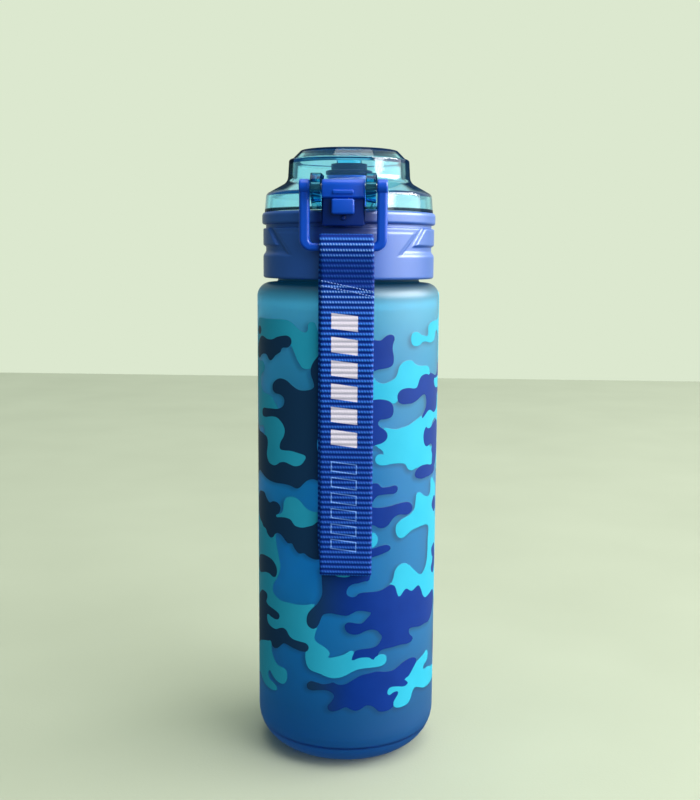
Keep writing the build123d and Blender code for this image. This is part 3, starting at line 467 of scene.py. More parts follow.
BRIGHT_UNDER = [
    [(-92, 180), (-80, 179.3), (-73.8, 179.5), (-67.6, 179.7), (-59.3, 179.7), (-51, 179.8), (-43.8, 179.9),
     (-38.7, 179.7), (-34.5, 178.5), (-31.4, 176.9), (-28.3, 175.7), (-25.8, 175.5), (-24.2, 176.7),
     (-24.4, 178.3), (-23.2, 179.3), (-21.1, 179.5), (-19.6, 178.9), (-18.5, 177), (-17, 175.3), (-12, 174),
     (-9, 168), (-13, 163), (-17, 160), (-22, 161.5), (-26.3, 161.5), (-28.3, 162), (-30.4, 163.7),
     (-32.3, 165.7), (-34.3, 168.3), (-36.1, 169.8), (-40, 171), (-50, 170), (-60, 169), (-72, 168),
     (-86, 170)],
    [(-90, 163), (-80, 162.5), (-72.8, 162.3), (-67.6, 162.7), (-64.5, 162), (-63, 160.3), (-64.5, 158.7),
     (-67.6, 157.7), (-69.7, 156.3), (-70.2, 153.7), (-68.6, 151.7), (-64.5, 150.3), (-59.3, 149.9),
     (-54.2, 149.3), (-51.6, 148), (-49, 146.3), (-46.4, 145.4), (-43, 143), (-40, 139), (-39, 133),
     (-40, 130), (-23, 130), (-23, 122), (-40, 120), (-62, 120), (-66, 126), (-64, 136), (-74, 136),
     (-86, 136), (-93, 150)],
    [(-42.5, 106.3), (-42.3, 108.3), (-40.2, 110), (-36.6, 110.9), (-32.5, 110.8), (-29.4, 109.7),
     (-26.8, 108), (-23.7, 106.7), (-20.1, 106.2), (-16.5, 106.3), (-8, 108), (-6, 101), (-16, 98),
     (-30, 97), (-44, 98), (-50.5, 100.5), (-50.5, 102.2), (-45.9, 103), (-43.3, 104.3)],
    [(-90, 97), (-70, 98), (-58, 96), (-50.8, 96.5), (-49.5, 91), (-48, 87.7), (-46.4, 84.3), (-45.4, 81.7),
     (-46.4, 79), (-49, 76), (-52.1, 73.7), (-53.4, 71.7), (-52.6, 69.7), (-49, 68.3), (-43.8, 67.5),
     (-38.7, 67.7), (-31.4, 67.8), (-25.2, 68.3), (-20, 69), (-16, 66), (-17, 61), (-18.5, 58.5),
     (-19.2, 57), (-19.6, 55), (-18, 53.7), (-13.9, 52.3), (-10.8, 50.7), (-9.8, 49.3), (-11, 47.8),
     (-5.6, 48.5), (-1, 49.5), (3, 51), (8, 50), (14, 49.5), (18.1, 48.4), (20.1, 48.6), (23.2, 48.5),
     (25.3, 47.7), (25.8, 46), (24.8, 44.5), (22.2, 43.7), (17.6, 43.5), (12.4, 43.5), (7.2, 43.1),
     (3.1, 42), (0, 40.8), (-4.1, 39.8), (-8.2, 39.5), (-12.4, 40), (-16.5, 40.9), (-22.7, 42), (-25.5, 45),
     (-27, 51), (-35, 51.8), (-45, 52), (-52, 49.5), (-55, 47), (-54.2, 44), (-51.6, 41.5), (-48, 40),
     (-42.8, 39.8), (-40.2, 39), (-39.5, 37), (-40.2, 34.7), (-42.8, 33), (-46.9, 32.7), (-50.6, 33.3),
     (-54, 34.5), (-57, 35.8), (-59, 35), (-59.5, 33.3), (-57, 32), (-53, 31.5), (-50, 30.7), (-48.8, 29.5),
     (-51, 28.5), (-55, 28), (-62, 28), (-68, 28.7), (-74, 30), (-84, 30), (-92, 40), (-94, 70)],
    [(41.3, 171.3), (40.8, 173.3), (42.1, 175), (45, 175.5), (48.1, 175), (51.2, 174), (54.8, 173.5),
     (57.4, 173.5), (58.2, 175), (57.9, 177), (60.5, 178.3), (64.6, 179), (70.8, 179.1), (80, 178.7),
     (88, 177), (80, 174.5), (72.9, 175.3), (69.8, 174), (68.2, 172), (64.6, 170.8), (60.5, 170.7),
     (56.3, 171.2), (52.2, 171.3), (49.1, 170.3), (46, 169.8), (42.9, 170.2)],
    [(8, 158), (15, 158.7), (17.1, 157.3), (21.2, 156.3), (25.3, 156.9), (29.5, 158.3), (31, 160.3),
     (32, 162.3), (34.6, 164), (38.8, 164.7), (42.4, 164.3), (45, 163), (49.1, 162.1), (55.3, 161.9),
     (58.9, 161.3), (61, 160), (61.2, 157.5), (58, 155), (50, 152), (44, 151), (36, 150.5), (31.6, 149.2),
     (28.6, 148.2), (26, 148.6), (20, 147), (12, 147), (6, 152)],
    [(18.1, 140.3), (21.2, 139.7), (25.3, 138.9), (30, 138.3), (34.6, 138.7), (39.8, 139.3), (45, 140.7),
     (49.1, 141.7), (52, 142.4), (52.8, 141.4), (54, 142), (56.3, 143), (60.5, 144.5), (64.6, 144.3),
     (68.7, 143.5), (72.9, 143.3), (84, 143), (90, 139), (80, 139.5), (72.9, 139.7), (67.7, 138.7),
     (64, 136), (60, 133), (64, 128.5), (67, 130), (67.5, 126.5), (69, 124.7), (68, 122), (63.6, 121),
     (59.4, 121.5), (53.7, 121.5), (49.1, 121.7), (46, 121.5), (43.4, 121.1), (40.3, 121.7), (38.8, 123),
     (37.2, 124.2), (33.6, 124.7), (28.4, 124.8), (22.2, 124.5), (19.1, 124.9), (17.1, 126), (16.9, 127.7),
     (18.6, 128.9), (21.2, 128.9), (22.7, 128.7), (21.2, 130.3), (18.1, 131.7), (15, 132.3), (11, 134.5),
     (14, 139)],
    [(31, 99), (32, 100.7), (35.7, 102.3), (40.8, 103.3), (45, 104.7), (46.5, 106.3), (47.2, 109),
     (47.9, 111), (49.6, 111.7), (52.2, 111.2), (56.3, 109.7), (60.5, 108.8), (64.1, 109.3), (65.6, 111),
     (65.4, 113.7), (66.1, 115.3), (68.2, 115.9), (71.8, 114.3), (74.9, 113.3), (84, 113), (92, 105),
     (92, 80), (84, 68), (72, 66), (60, 65.5), (56, 66), (50, 70), (40, 71), (34, 69.5), (31, 73), (27, 76),
     (26.8, 76.9), (28.4, 77.2), (29.8, 79), (30.8, 81.7), (33.1, 83.5), (36.7, 84.3), (40.3, 83.7),
     (43.4, 82.3), (47.5, 80), (51.7, 78), (54.8, 77.5), (58.9, 79.3), (61.5, 82.3), (62.5, 87), (62.5, 91),
     (63.5, 95), (63, 95.9), (60.5, 97.1), (55.3, 97.5), (49.1, 97.3), (43.9, 96.9), (40.3, 95.7),
     (36.7, 94.7), (33.6, 95), (31.5, 96.7)],
    [(11, 97), (15, 98.3), (17.1, 98), (18.9, 96.3), (18.9, 94.3), (17.1, 92.7), (15, 92.2), (11, 93)],
    [(-8, 84), (-4, 80), (3, 80), (6, 84), (0, 88)],
]
BRIGHT_OVER = [
    [(69, 155.7), (74, 155.9), (84, 156), (88, 152), (78, 151.7), (71, 152.7)],
    [(26.7, 31.7), (27.1, 33.3), (29.4, 34.1), (34.1, 33.7), (38.2, 33), (41.3, 33.1), (42.6, 34),
     (40.8, 35.1), (38.7, 36.3), (41.3, 36.3), (43.4, 36.7), (46, 38.3), (48.6, 40), (50.6, 41.1),
     (54.8, 42), (59.9, 43), (63, 43.7), (65.6, 42.7), (66.1, 40.7), (64.6, 39), (61.5, 38.3), (59.4, 37.7),
     (59.4, 36.3), (62, 36), (66.1, 36), (70.2, 35), (80, 33.3), (90, 30), (80, 27.7), (72.3, 27.5),
     (64, 27.7), (58.9, 28.3), (53.7, 29.7), (49.6, 30.5), (47, 29.3), (45.5, 27), (42.9, 25.1),
     (38.2, 24.5), (34.1, 24.7), (31.5, 25.7), (31.3, 27.7), (33.1, 29.3), (34.6, 30.7), (34.1, 31.7),
     (31, 31.7), (28.4, 30.9)],
]
FREE_SIZE, FREE_SQUASH, FREE_STIR = 27.0, 1.45, 0.32  # of the free blobs behind and under the strap
FREE_START = 1795341299  # where the stirring starts; without it each run would start it from the clock


def smooth_ring(points):
    """A closed outline in millimetres round the wall, rounded through its (degrees, height) points."""
    ring = np.array([(math.radians(angle) * BODY_R, height) for angle, height in points])
    before, after, beyond = np.roll(ring, 1, 0), np.roll(ring, -1, 0), np.roll(ring, -2, 0)
    bend, twist = 2 * before - 5 * ring + 4 * after - beyond, 3 * ring - before - 3 * after + beyond
    spans = []
    for t in (0, 0.2, 0.4, 0.6, 0.8):
        spans.append(0.5 * (2 * ring + (after - before) * t + bend * t**2 + twist * t**3))
    return np.stack(spans, 1).reshape(-1, 2)


def outside_by(spots, shapes, far=3.0):
    """How far each spot is outside the nearest shape, in millimetres; negative inside."""
    best = np.full(len(spots), far)
    for shape in shapes:
        ring = smooth_ring(shape)
        near = np.where(np.all((spots > ring.min(0) - far) & (spots < ring.max(0) + far), axis=1))[0]
        spot, distance, inside = spots[near], np.full(len(near), far), np.zeros(len(near), bool)
        for first in range(0, len(ring), 10):
            run = ring[np.arange(first, min(first + 10, len(ring)) + 1) % len(ring)]
            start, along = run[:-1], np.diff(run, axis=0)
            level = np.where((spot[:, 1] > run[:, 1].min()) & (spot[:, 1] <= run[:, 1].max()))[0]
            x, z = spot[level, 0, None], spot[level, 1, None]
            crosses = (start[:, 1] >= z) != (start[:, 1] + along[:, 1] >= z)
            at = start[:, 0] + (z - start[:, 1]) / np.where(along[:, 1] == 0, 1, along[:, 1]) * along[:, 0]
            inside[level] ^= (crosses & (x < at)).sum(1) % 2 == 1
            close = np.where(np.all((spot > run.min(0) - far) & (spot < run.max(0) + far), axis=1))[0]
            away = spot[close, None] - start
            share = np.clip((away * along).sum(2) / np.maximum((along**2).sum(1), 1e-9), 0, 1)
            gaps = np.linalg.norm(away - share[..., None] * along, axis=2)
            distance[close] = np.minimum(distance[close], gaps.min(1))
        best[near] = np.minimum(best[near], np.where(inside, -distance, distance))
    return best


def ramp(value, low, high):
    """0 up to low and 1 from high on, with a soft start and end."""
    share = np.clip((value - low) / (high - low), 0, 1)
    return share * share * (3 - 2 * share)


def free_blobs(spots, seed, cover):
    """How far outside a free camouflage blob each spot is, in millimetres."""
    found = []
    for around, up in spots:
        angle = around / BODY_R
        spot = Vector((math.sin(angle) * BODY_R, -math.cos(angle) * BODY_R, up * FREE_SQUASH))
        spot = spot / FREE_SIZE + Vector((seed, 0, 0))
        spot += noise.noise_vector(spot * 1.6) * FREE_STIR
        found.append((cover - noise.noise(spot)) * 20)
    ends = np.maximum(ramp(spots[:, 1], 168, 184), 1 - ramp(spots[:, 1], 20, 36)) * 10
    return np.clip(np.array(found) + ends, -3, 3)


def print_field(spots, shapes, seed, cover):
    """The drawn shapes in front, running into free blobs round the back and under the strap."""
    round_back = ramp(np.degrees(np.abs(spots[:, 0]) / BODY_R), 71, 87)
    under_strap = (1 - ramp(np.abs(spots[:, 0]), 5.5, 9.5)) * ramp(spots[:, 1], 84, 88)
    share = np.maximum(round_back, under_strap)
    outside, free = outside_by(spots, shapes), share > 0
    outside[free] += (free_blobs(spots[free], seed, cover) - outside[free]) * share[free]
    return outside


places = np.empty(len(bottle.data.vertices) * 3)
bottle.data.vertices.foreach_get("co", places)
places = places.reshape(-1, 3) / MM
WALL_LOW, WALL_HIGH = 8, 192
straight = (places[:, 2] > WALL_LOW) & (places[:, 2] < WALL_HIGH)
on_wall = (np.hypot(places[:, 0], places[:, 1]) > BODY_R - 0.5) & straight
angles = np.arctan2(places[on_wall, 0], -places[on_wall, 1]) - math.radians(PRINT_TURN)
angles = (angles + math.pi) % (2 * math.pi) - math.pi
spots = np.column_stack([angles * BODY_R, places[on_wall, 2]])


def ink_layers(spots):
    """How far outside the dark and the bright ink each spot is, with each covered by what lies over it."""
    dark, under = print_field(spots, DARK_INK, 3.7, 0.09), print_field(spots, BRIGHT_UNDER, 8.2, 0.03)
    over = outside_by(spots, BRIGHT_OVER)
    return np.maximum(dark, -over), np.minimum(over, np.maximum(under, -dark))


def keep(name, values, rest=3.0):
    """Stores a number for each point of the wall on the mesh."""
    everywhere = np.full(len(places), rest)
    everywhere[on_wall] = values
    bottle.data.attributes.new(name, "FLOAT", "POINT").data.foreach_set("value", everywhere)


noise.seed_set(FREE_START)
dark, bright = ink_layers(spots)
keep("dark_ink", dark)
keep("bright_ink", bright)
# A painted shadow of each ink patch, offset to its left and below it, is stored as ink_shade.
SHADE_LEFT, SHADE_DOWN = 1.3, 0.7  # how far the ink's shade falls through the wall
keep("ink_shade", np.minimum(*ink_layers(spots + (SHADE_LEFT, SHADE_DOWN))))

finish = Finish("frosted_print")
height = finish.axis("Z")
# The frosted colour grades from deep blue at the foot to pale at the shoulder, partly the body's graded tint
# and partly painted light coming through its top; the last, dark step is a painted shade under the collar.
clear = finish.add("ShaderNodeValToRGB", {"stops": [
    (0.0, colour(14, 100, 178)),
    (0.12, colour(16, 118, 184)),
    (0.35, colour(14, 156, 230)),
    (0.6, colour(20, 162, 232)),
    (0.85, colour(66, 186, 232)),
    (0.955, colour(102, 204, 236)),
    (0.988, colour(16, 84, 116)),
]}, {"Fac": height / 0.195})


def kept(name):
    """A number that was stored on the mesh."""
    return finish.add("ShaderNodeAttribute", {"attribute_name": name}, output="Fac")


INK_EDGE = 0.09  # half the width over which the ink fades out, in millimetres
is_dark, is_bright = (kept(name).rise(INK_EDGE, -INK_EDGE) for name in ("dark_ink", "bright_ink"))
# Painted shadow: the frosted colour darkens beside each ink patch, on its left and lower side.
shaded = finish.blend(kept("ink_shade").rise(1.6, -1.2) * 0.55, clear, colour(12, 84, 128))
royal = finish.blend(finish.noise(120, 2), colour(2, 50, 138), colour(5, 60, 158))
# The dark ink is royal blue on the right and, as a painted shade, a dull teal-navy on the left, away from the
# window.
dark_ink_and_painted_shade = finish.blend(finish.axis("X").rise(-0.014, 0.006), colour(30, 68, 106), royal)
bright_colour = finish.blend(finish.noise(90, 2), colour(46, 192, 226), colour(60, 204, 236))
print_colour = finish.blend(is_bright, dark_ink_and_painted_shade, bright_colour)
frost = finish.noise(2600, 2)
dust = finish.noise(60, 4)
inked = is_dark.sum("MAXIMUM", is_bright)
ground = finish.bump(frost * 0.6 + inked * 1.4, 0.00004, 0.6)
inside = finish.plastic(shaded, 0.42 + dust * 0.06, Transmission_Weight=1.0, IOR=1.45, Normal=ground)
# The outer frosting has a painted glow: a weak emission in its own colour stands in for light passing through
# the body.
chalk_and_painted_glow = finish.plastic(
    shaded, 0.44 + dust * 0.06, Specular_IOR_Level=0.65,
    Emission_Color=shaded, Emission_Strength=0.3, Normal=ground,
)
outer = finish.out_squared().rise(((BODY_R - 0.9) * MM) ** 2, ((BODY_R - 0.8) * MM) ** 2)
outer = outer.sum("MAXIMUM", height.rise(0.1835, 0.1845)).sum("MAXIMUM", 1 - height.rise(0.0085, 0.0095))
glow = finish.layer(outer * 0.37, inside, chalk_and_painted_glow)
ink = finish.plastic(print_colour, 0.46 + dust * 0.08, Specular_IOR_Level=0.16, Normal=ground)
wear(bottle, finish.done(finish.layer(inked, glow, ink)))
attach(bottle, "bottle")
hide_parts("bottle_body")


# ---- Neck seal ----
# A soft ring of pale silicone that sits in the lid and seals on the bottle's rim. It is pressed in dry.
def silicone(name, first, second, cloud_size, pore_size, roughness, **more):
    """A soft rubber, a little cloudy between two colours, with fine pores."""
    finish = Finish(name)
    tone = finish.blend(finish.noise(cloud_size, 3), first, second)
    pores = finish.bump(finish.noise(pore_size), 0.00002)
    return finish.done(finish.plastic(tone, roughness, Normal=pores, **more))


seal_silicone = silicone("seal_silicone", colour(196, 214, 220), colour(214, 228, 232), 180, 1400, 0.55)
wear(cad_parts["neck_seal_ring"], seal_silicone)


# ---- Grip collar ----
# The lid's outer shell, moulded in matte blue plastic over the inner cap. Tapered panels in front and
# behind and a block on each side stand level with its lower band; the hinge bracket is part of it.
COLLAR_R, COLLAR_TOP_R, COLLAR_FLOOR_R, COLLAR_BORE_R, DECK_HOLE_R = 34.5, 34.9, 33.4, 32.2, 20.0
COLLAR_LOW, BAND_TOP, BAND_SLOPE, PANEL_TOP, GROOVE_TOP, COLLAR_TOP = 195.3, 204.2, 2.0, 214.7, 216.5, 221.3
PANEL_TOP_HALF_W, PANEL_LOW_HALF_W, VALLEY_W, BLOCK_LOW = 28.9, 21.7, 3.0, 207.9


def raised_fields(angle, z):
    """How much of the collar's full height stands at each place, 0 in the grooves; angle 0 is in front."""
    wider, taller = PANEL_TOP_HALF_W - PANEL_LOW_HALF_W, PANEL_TOP - BAND_TOP
    half_w = PANEL_LOW_HALF_W + wider * (z - BAND_TOP) / taller
    lean = math.cos(math.atan(wider / taller))
    from_front = np.arcsin(np.abs(np.sin(angle)))
    panel_in = (np.arcsin(half_w / COLLAR_R) - from_front) * COLLAR_R * lean
    half_block = np.sqrt(COLLAR_R**2 - half_w**2) - VALLEY_W
    block_in = (np.arcsin(half_block / COLLAR_R) - (math.pi / 2 - from_front)) * COLLAR_R * lean
    band = 1 - ramp(z, BAND_TOP - 0.3, BAND_TOP + BAND_SLOPE)
    panel = ramp(panel_in, -0.5, 0.5) * (1 - 0.13 * ramp(-np.minimum(panel_in, PANEL_TOP - z), -1.9, -1.5))
    block = ramp(block_in, -1.0, 0.5) * ramp(z, BLOCK_LOW - 0.3, BLOCK_LOW + 0.6)
    return np.maximum(band, np.maximum(panel, block))


bm = turned([
    (COLLAR_BORE_R, COLLAR_LOW, 0.3),
    (COLLAR_R, COLLAR_LOW, 0.9),
    (COLLAR_R, PANEL_TOP + 0.15, 0.5),
    (COLLAR_FLOOR_R, PANEL_TOP + 0.35, 0.15),
    (COLLAR_FLOOR_R, GROOVE_TOP, 0.15),
    (COLLAR_TOP_R, GROOVE_TOP, 0.8),
    (COLLAR_TOP_R, COLLAR_TOP, 1.4),
    (DECK_HOLE_R, COLLAR_TOP, 0.3),
    (DECK_HOLE_R, COLLAR_TOP - 2),
    (COLLAR_BORE_R, COLLAR_TOP - 2),
], steps=45, copies=16, row=0.35, beyond=COLLAR_FLOOR_R + 0.3, segments=4)


def on_side(vert):
    """Whether a point is on the collar's outside between its low band and its top groove."""
    between = BAND_TOP - 0.5 < vert.co.z / MM < PANEL_TOP + 0.4
    return between and math.hypot(vert.co.x, vert.co.y) > COLLAR_FLOOR_R * MM


sides = [vert for vert in bm.verts if on_side(vert)]
at = np.array([(math.atan2(vert.co.x, -vert.co.y), vert.co.z / MM) for vert in sides])
for vert, part in zip(sides, raised_fields(at[:, 0], at[:, 1])):
    radius = math.hypot(vert.co.x, vert.co.y) / MM
    grown = (COLLAR_FLOOR_R + (radius - COLLAR_FLOOR_R) * part) / radius
    vert.co.x, vert.co.y = vert.co.x * grown, vert.co.y * grown


def plate(bm, corners, x0, x1, edge=0.3):
    """Adds a plate of a side outline of (y, z, rounding) corners, from x0 to x1, with softened edges."""
    side = rounded(corners)
    quarter = Matrix.Rotation(math.pi / 2, 3, "Z")
    bmesh.ops.rotate(side, verts=side.verts[:], cent=(0, 0, 0), matrix=quarter)
    bmesh.ops.translate(side, verts=side.verts[:], vec=(x0 * MM, 0, 0))
    grown = bmesh.ops.extrude_face_region(side, geom=side.faces[:])["geom"]
    bmesh.ops.translate(side, verts=points_of(grown), vec=((x1 - x0) * MM, 0, 0))
    bmesh.ops.recalc_face_normals(side, faces=side.faces[:])
    rims = [item for item in side.edges if abs(item.verts[0].co.x - item.verts[1].co.x) < SAME_PLACE]
    soften(side, rims, edge * MM, segments=2)
    join(bm, side)


HINGE_Y, HINGE_Z, LUG_R, LUG_IN, LUG_OUT, BRACKET_BACK = 37.6, 224.5, 3.8, 6.5, 10.95, 41.6
root, foot = COLLAR_BORE_R + 0.4, 209.5
lug = [
    (root, foot),
    (COLLAR_R, foot),
    (BRACKET_BACK, PANEL_TOP, 2.0),
    (BRACKET_BACK, HINGE_Z + LUG_R, LUG_R),
    (HINGE_Y - LUG_R, HINGE_Z + LUG_R, LUG_R),
    (HINGE_Y - LUG_R, COLLAR_TOP),
    (root, COLLAR_TOP),
]
back_web = [
    (BRACKET_BACK - 2, PANEL_TOP - 1),
    (BRACKET_BACK, PANEL_TOP - 1),
    (BRACKET_BACK, COLLAR_TOP - 2),
    (BRACKET_BACK - 2, COLLAR_TOP - 2),
]
under_web = [(root, foot), (COLLAR_R, foot), (BRACKET_BACK, PANEL_TOP, 2.0), (root, PANEL_TOP)]
for side_x in (-LUG_OUT, LUG_IN):
    plate(bm, lug, side_x, side_x + LUG_OUT - LUG_IN)
for web in (back_web, under_web):
    plate(bm, web, -LUG_IN - 0.5, LUG_IN + 0.5)
collar = build("grip_collar", bm)
finish = Finish("matte_blue_plastic")
grain = finish.noise(1500, 4)
cloud = finish.noise(45, 3)
tone = finish.blend(cloud, colour(42, 96, 190), colour(54, 108, 202))
# Painted shadow: the collar's front under the latch, between the bail's legs, is darkened towards deep blue.
beside_latch = 1 - finish.axis("X").sum("ABSOLUTE").rise(0.0095, 0.0145)
in_front = 1 - finish.axis("Y").rise(-0.03, -0.025)
painted_shade_behind_bail = beside_latch * finish.axis("Z").rise(0.2025, 0.2075) * in_front
tone = finish.blend(painted_shade_behind_bail * 0.75, tone, colour(0, 28, 108))
skin = finish.bump(grain, 0.00003, 0.5)
wear(collar, finish.done(finish.plastic(tone, 0.38 + cloud * 0.08, Specular_IOR_Level=0.8, Normal=skin)))
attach(collar, "lid")
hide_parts("lid_collar")


# ---- Inner cap and air valve ----
# The threaded cap with the drinking spout, glossy blue, seen through the cover, and the small soft
# valve beside the spout that lets air in.
finish = Finish("gloss_blue_plastic")
cloud = finish.noise(60, 2)
tone = finish.blend(cloud, colour(20, 74, 192), colour(28, 86, 208))
waves = finish.bump(finish.noise(420, 3), 0.00002, 0.4)
wear(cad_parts["inner_cap"], finish.done(finish.plastic(tone, 0.24 + cloud * 0.08, Normal=waves)))
valve_silicone = silicone("valve_silicone", colour(206, 220, 230), colour(224, 234, 240), 200, 1600, 0.5)
wear(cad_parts["air_valve"], valve_silicone)


# ---- Pins and springs ----
# Drawn steel wire and ground pins, bright, with fine marks along and across them.
finish = Finish("bright_steel")
marks = finish.noise(2200, 3)
tone = finish.blend(marks, colour(176, 180, 184), colour(206, 208, 210))
scratches = finish.bump(marks, 0.00001, 0.4)
steel = finish.done(finish.plastic(tone, 0.22 + marks * 0.14, Metallic=1.0, Normal=scratches))
for name in ("hinge_pin", "latch_pin", "hinge_spring", "latch_spring"):
    wear(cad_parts[name], steel)


# ---- Clear cover and spout plug ----
# The flip cover is injection moulded in clear teal plastic, whose tint deepens through its thick parts. Its
# edges, waist, roof rim, ears and foot are also painted dark, standing in for the dark surroundings seen in
# the glass and the shadow under its foot, and a faint teal emission is a painted glow. Inside its roof hangs
# the soft dark plug that closes the spout.
finish = Finish("clear_teal_plastic")
# Painted dark: an opaque dark teal is mixed in where the surface turns edge-on, round the waist, on the roof
# rim, over the ears and along the foot, less on the skirt.
edge_on = finish.add("ShaderNodeLayerWeight", inputs={"Blend": 0.5}, output="Facing")
wave_marks = finish.noise(70, 2)
ripple = finish.bump(wave_marks, 0.0001, 0.25)
foot_painted_shadow = 1 - finish.axis("Z").rise(0.2223, 0.2228)
ear_painted_dark = 1 - finish.axis("Y").rise(-0.0352, -0.0342)
# A faint teal emission over the whole cover is a painted glow.
tint, painted_glow_colour = (0.85, 0.96, 1.0), (0.0, 0.3, 0.85)
clear = finish.plastic(
    tint, 0.03 + wave_marks * 0.03, Transmission_Weight=1.0, IOR=1.47,
    Emission_Color=painted_glow_colour, Emission_Strength=0.036, Normal=ripple,
)
dark_teal = finish.blend(wave_marks, colour(2, 24, 52), colour(4, 36, 66))
deep = finish.plastic(dark_teal, 0.3, Specular_IOR_Level=0.0, Normal=ripple)
waist = finish.axis("Z").rise(0.2335, 0.2345) * (1 - finish.axis("Z").rise(0.2412, 0.242))
skirt = 1 - finish.axis("Z").rise(0.2275, 0.23)
roof_rim = finish.axis("Z").rise(0.2445, 0.2449) * finish.out_squared().rise(0.0172**2, 0.018**2)
painted_dark_share = (edge_on + waist * 0.15).rise(0.72, 0.8) * (0.96 - skirt * 0.66)
for place in (foot_painted_shadow * 0.8, ear_painted_dark * 0.4, roof_rim * 0.85):
    painted_dark_share = painted_dark_share.sum("MAXIMUM", place)
seen = finish.layer(painted_dark_share, clear, deep)
depth = finish.add("ShaderNodeVolumeAbsorption", inputs={"Color": (0.06, 0.86, 1.0), "Density": 190.0})
finish.add("ShaderNodeOutputMaterial", inputs={"Surface": seen, "Volume": depth})
wear(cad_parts["dust_cover"], finish.material)
dark_silicone = silicone(
    "dark_silicone", colour(20, 6, 56), colour(32, 8, 66), 160, 1200, 0.45, Specular_IOR_Level=0.2,
)
wear(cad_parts["spout_plug"], dark_silicone)


# ---- Latch and lock bail ----
# Two cobalt mouldings on the same steel pin: the lever that holds the cover shut, and the hoop that
# swings over it and carries the strap. Under its round head the lever falls back, so its pad stands out.
PIN_Y, PIN_Z, LEVER_R, LEVER_HALF_W, STEP_Z, FALL_BACK = -38.9, 229.4, 2.8, 7.9, 225.5, 1.9
head_top, head_low, toe = PIN_Z + LEVER_R, PIN_Z - LEVER_R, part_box("latch")[0][2] / MM
front, back, hook_y = PIN_Y - LEVER_R, PIN_Y + LEVER_R, -COLLAR_R - 0.3
bm = bmesh.new()
plate(bm, [
    (front, head_top, 2.6),
    (front, STEP_Z, 0.6),
    (front + FALL_BACK, STEP_Z - 0.5, 0.4),
    (front + 2.6, toe, 0.6),
    (hook_y, toe),
    (hook_y, toe + 1.0, 0.3),
    (front + 3.3, toe + 1.0, 0.5),
    (front + 3.3, head_low, 0.5),
    (back, head_low, 2.6),
    (back, head_top, 2.6),
], -LEVER_HALF_W, LEVER_HALF_W, edge=0.6)
PAD, RIDGE = (8.4, 5.6, 4.4, 1.2, 0.75), (7.8, 1.6, 1.2, 0.7, 0.5)
SUNK = 2.2  # how deep each is rooted in the lever
for width, tall, down, rise, soft in (PAD, RIDGE):
    block = bmesh.new()
    deep = rise + SUNK
    size = Matrix.Diagonal((width * MM, deep * MM, tall * MM, 1))
    middle = Vector((0, front - rise + deep / 2, PIN_Z - down - tall / 2)) * MM
    bmesh.ops.create_cube(block, size=1, matrix=Matrix.Translation(middle) @ size)
    soften(block, block.edges[:], soft * MM, segments=4)
    join(bm, block)
gate_mark = bmesh.new()
mark_at = Vector((0, front + FALL_BACK + 0.1, toe + 2.9)) * MM
bmesh.ops.create_cone(
    gate_mark, cap_ends=True, segments=20, radius1=1.0 * MM, radius2=0.7 * MM, depth=0.5 * MM,
    matrix=Matrix.Translation(mark_at) @ Matrix.Rotation(math.pi / 2, 4, "X"),
)
join(bm, gate_mark)
lever = build("latch_lever", bm)


def cobalt_plastic(finish, shaded=None):
    """Polished cobalt plastic, with a painted shade darkening it where shaded is given."""
    cloud = finish.noise(80, 3)
    tone = finish.blend(cloud, colour(2, 78, 206), colour(8, 90, 222))
    if shaded:
        tone = finish.blend(shaded * 0.85, tone, colour(0, 30, 104))
    waves = finish.bump(finish.noise(520, 3), 0.00003, 0.4)
    return finish.done(finish.plastic(tone, 0.26 + cloud * 0.1, Normal=waves))


wear(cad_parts["lock_bail"], cobalt_plastic(Finish("cobalt_gloss_plastic")))
finish = Finish("cobalt_lever_plastic")
# Painted shade: the lever's face under its head, where it falls back, is darkened towards deep blue, so the
# pad stands out bright.
under_head = 1 - finish.axis("Z").rise((STEP_Z - 0.9) * MM, STEP_Z * MM)
painted_shade_fallen_back = finish.axis("Y").rise((front + 0.5) * MM, (front + 1.3) * MM) * under_head
wear(lever, cobalt_plastic(finish, painted_shade_fallen_back))
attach(lever, "latch")
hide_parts("latch")


# ---- Carrying strap ----
# One length of 20 mm ribbed webbing, passed over the bail's bar and sewn to itself under a slanting
# seam. A row of solid slanting bars and a row of outlined ones are printed on its front.
STRAP_W, STRAP_T, STRAP_X, REAR_SHIFT = 20.0, 1.4, 1.7, -0.9
BAR_Y, BAR_Z, FOLD_R, RUN_R = -38.9, 207.5, 3.2, 0.85
FOLD_LIFT, FOLD_CROWN, FOLD_SPREAD = 1.4, math.radians(118), math.radians(22)
MEET_Z, FOOT_Z, RIB_PITCH, ROW = 195.0, 83.6, 1.95, 0.325
SEAM_ANGLE = 11.5  # degrees
SEAM_Z, SEAM_LEAN = 193.2, math.tan(math.radians(-SEAM_ANGLE))
BELLY_OUT, BELLY_LOW, BELLY_CROWN, BELLY_HIGH = 0.8, 120, 172, 192


def strap_route():
    """The webbing's middle as (y, z) points: up the front from the foot, over the bar and down behind."""
    swing = math.asin((FOLD_R - RUN_R) / (BAR_Z - MEET_Z))
    front = [(BAR_Y - RUN_R, z) for z in np.linspace(FOOT_Z, MEET_Z, 60)]
    turn = np.linspace(math.pi + swing, -swing, 40)
    off_bar = FOLD_R + FOLD_LIFT * np.exp(-(((turn - FOLD_CROWN) / FOLD_SPREAD) ** 2))
    fold = list(zip(BAR_Y + off_bar * np.cos(turn), BAR_Z + off_bar * np.sin(turn)))
    rear = [(BAR_Y + RUN_R, z) for z in np.linspace(MEET_Z, FOOT_Z, 60)]
    foot = [(BAR_Y + RUN_R * math.cos(a), FOOT_Z + RUN_R * math.sin(a)) for a in np.linspace(0, -math.pi, 16)]
    return np.array(front + fold + rear + foot[1:])


def belly_at(z):
    """How far the front of the strap stands out below its seam, from 0 to 1."""
    return ramp(z, BELLY_LOW, BELLY_CROWN) * (1 - ramp(z, BELLY_CROWN, BELLY_HIGH))


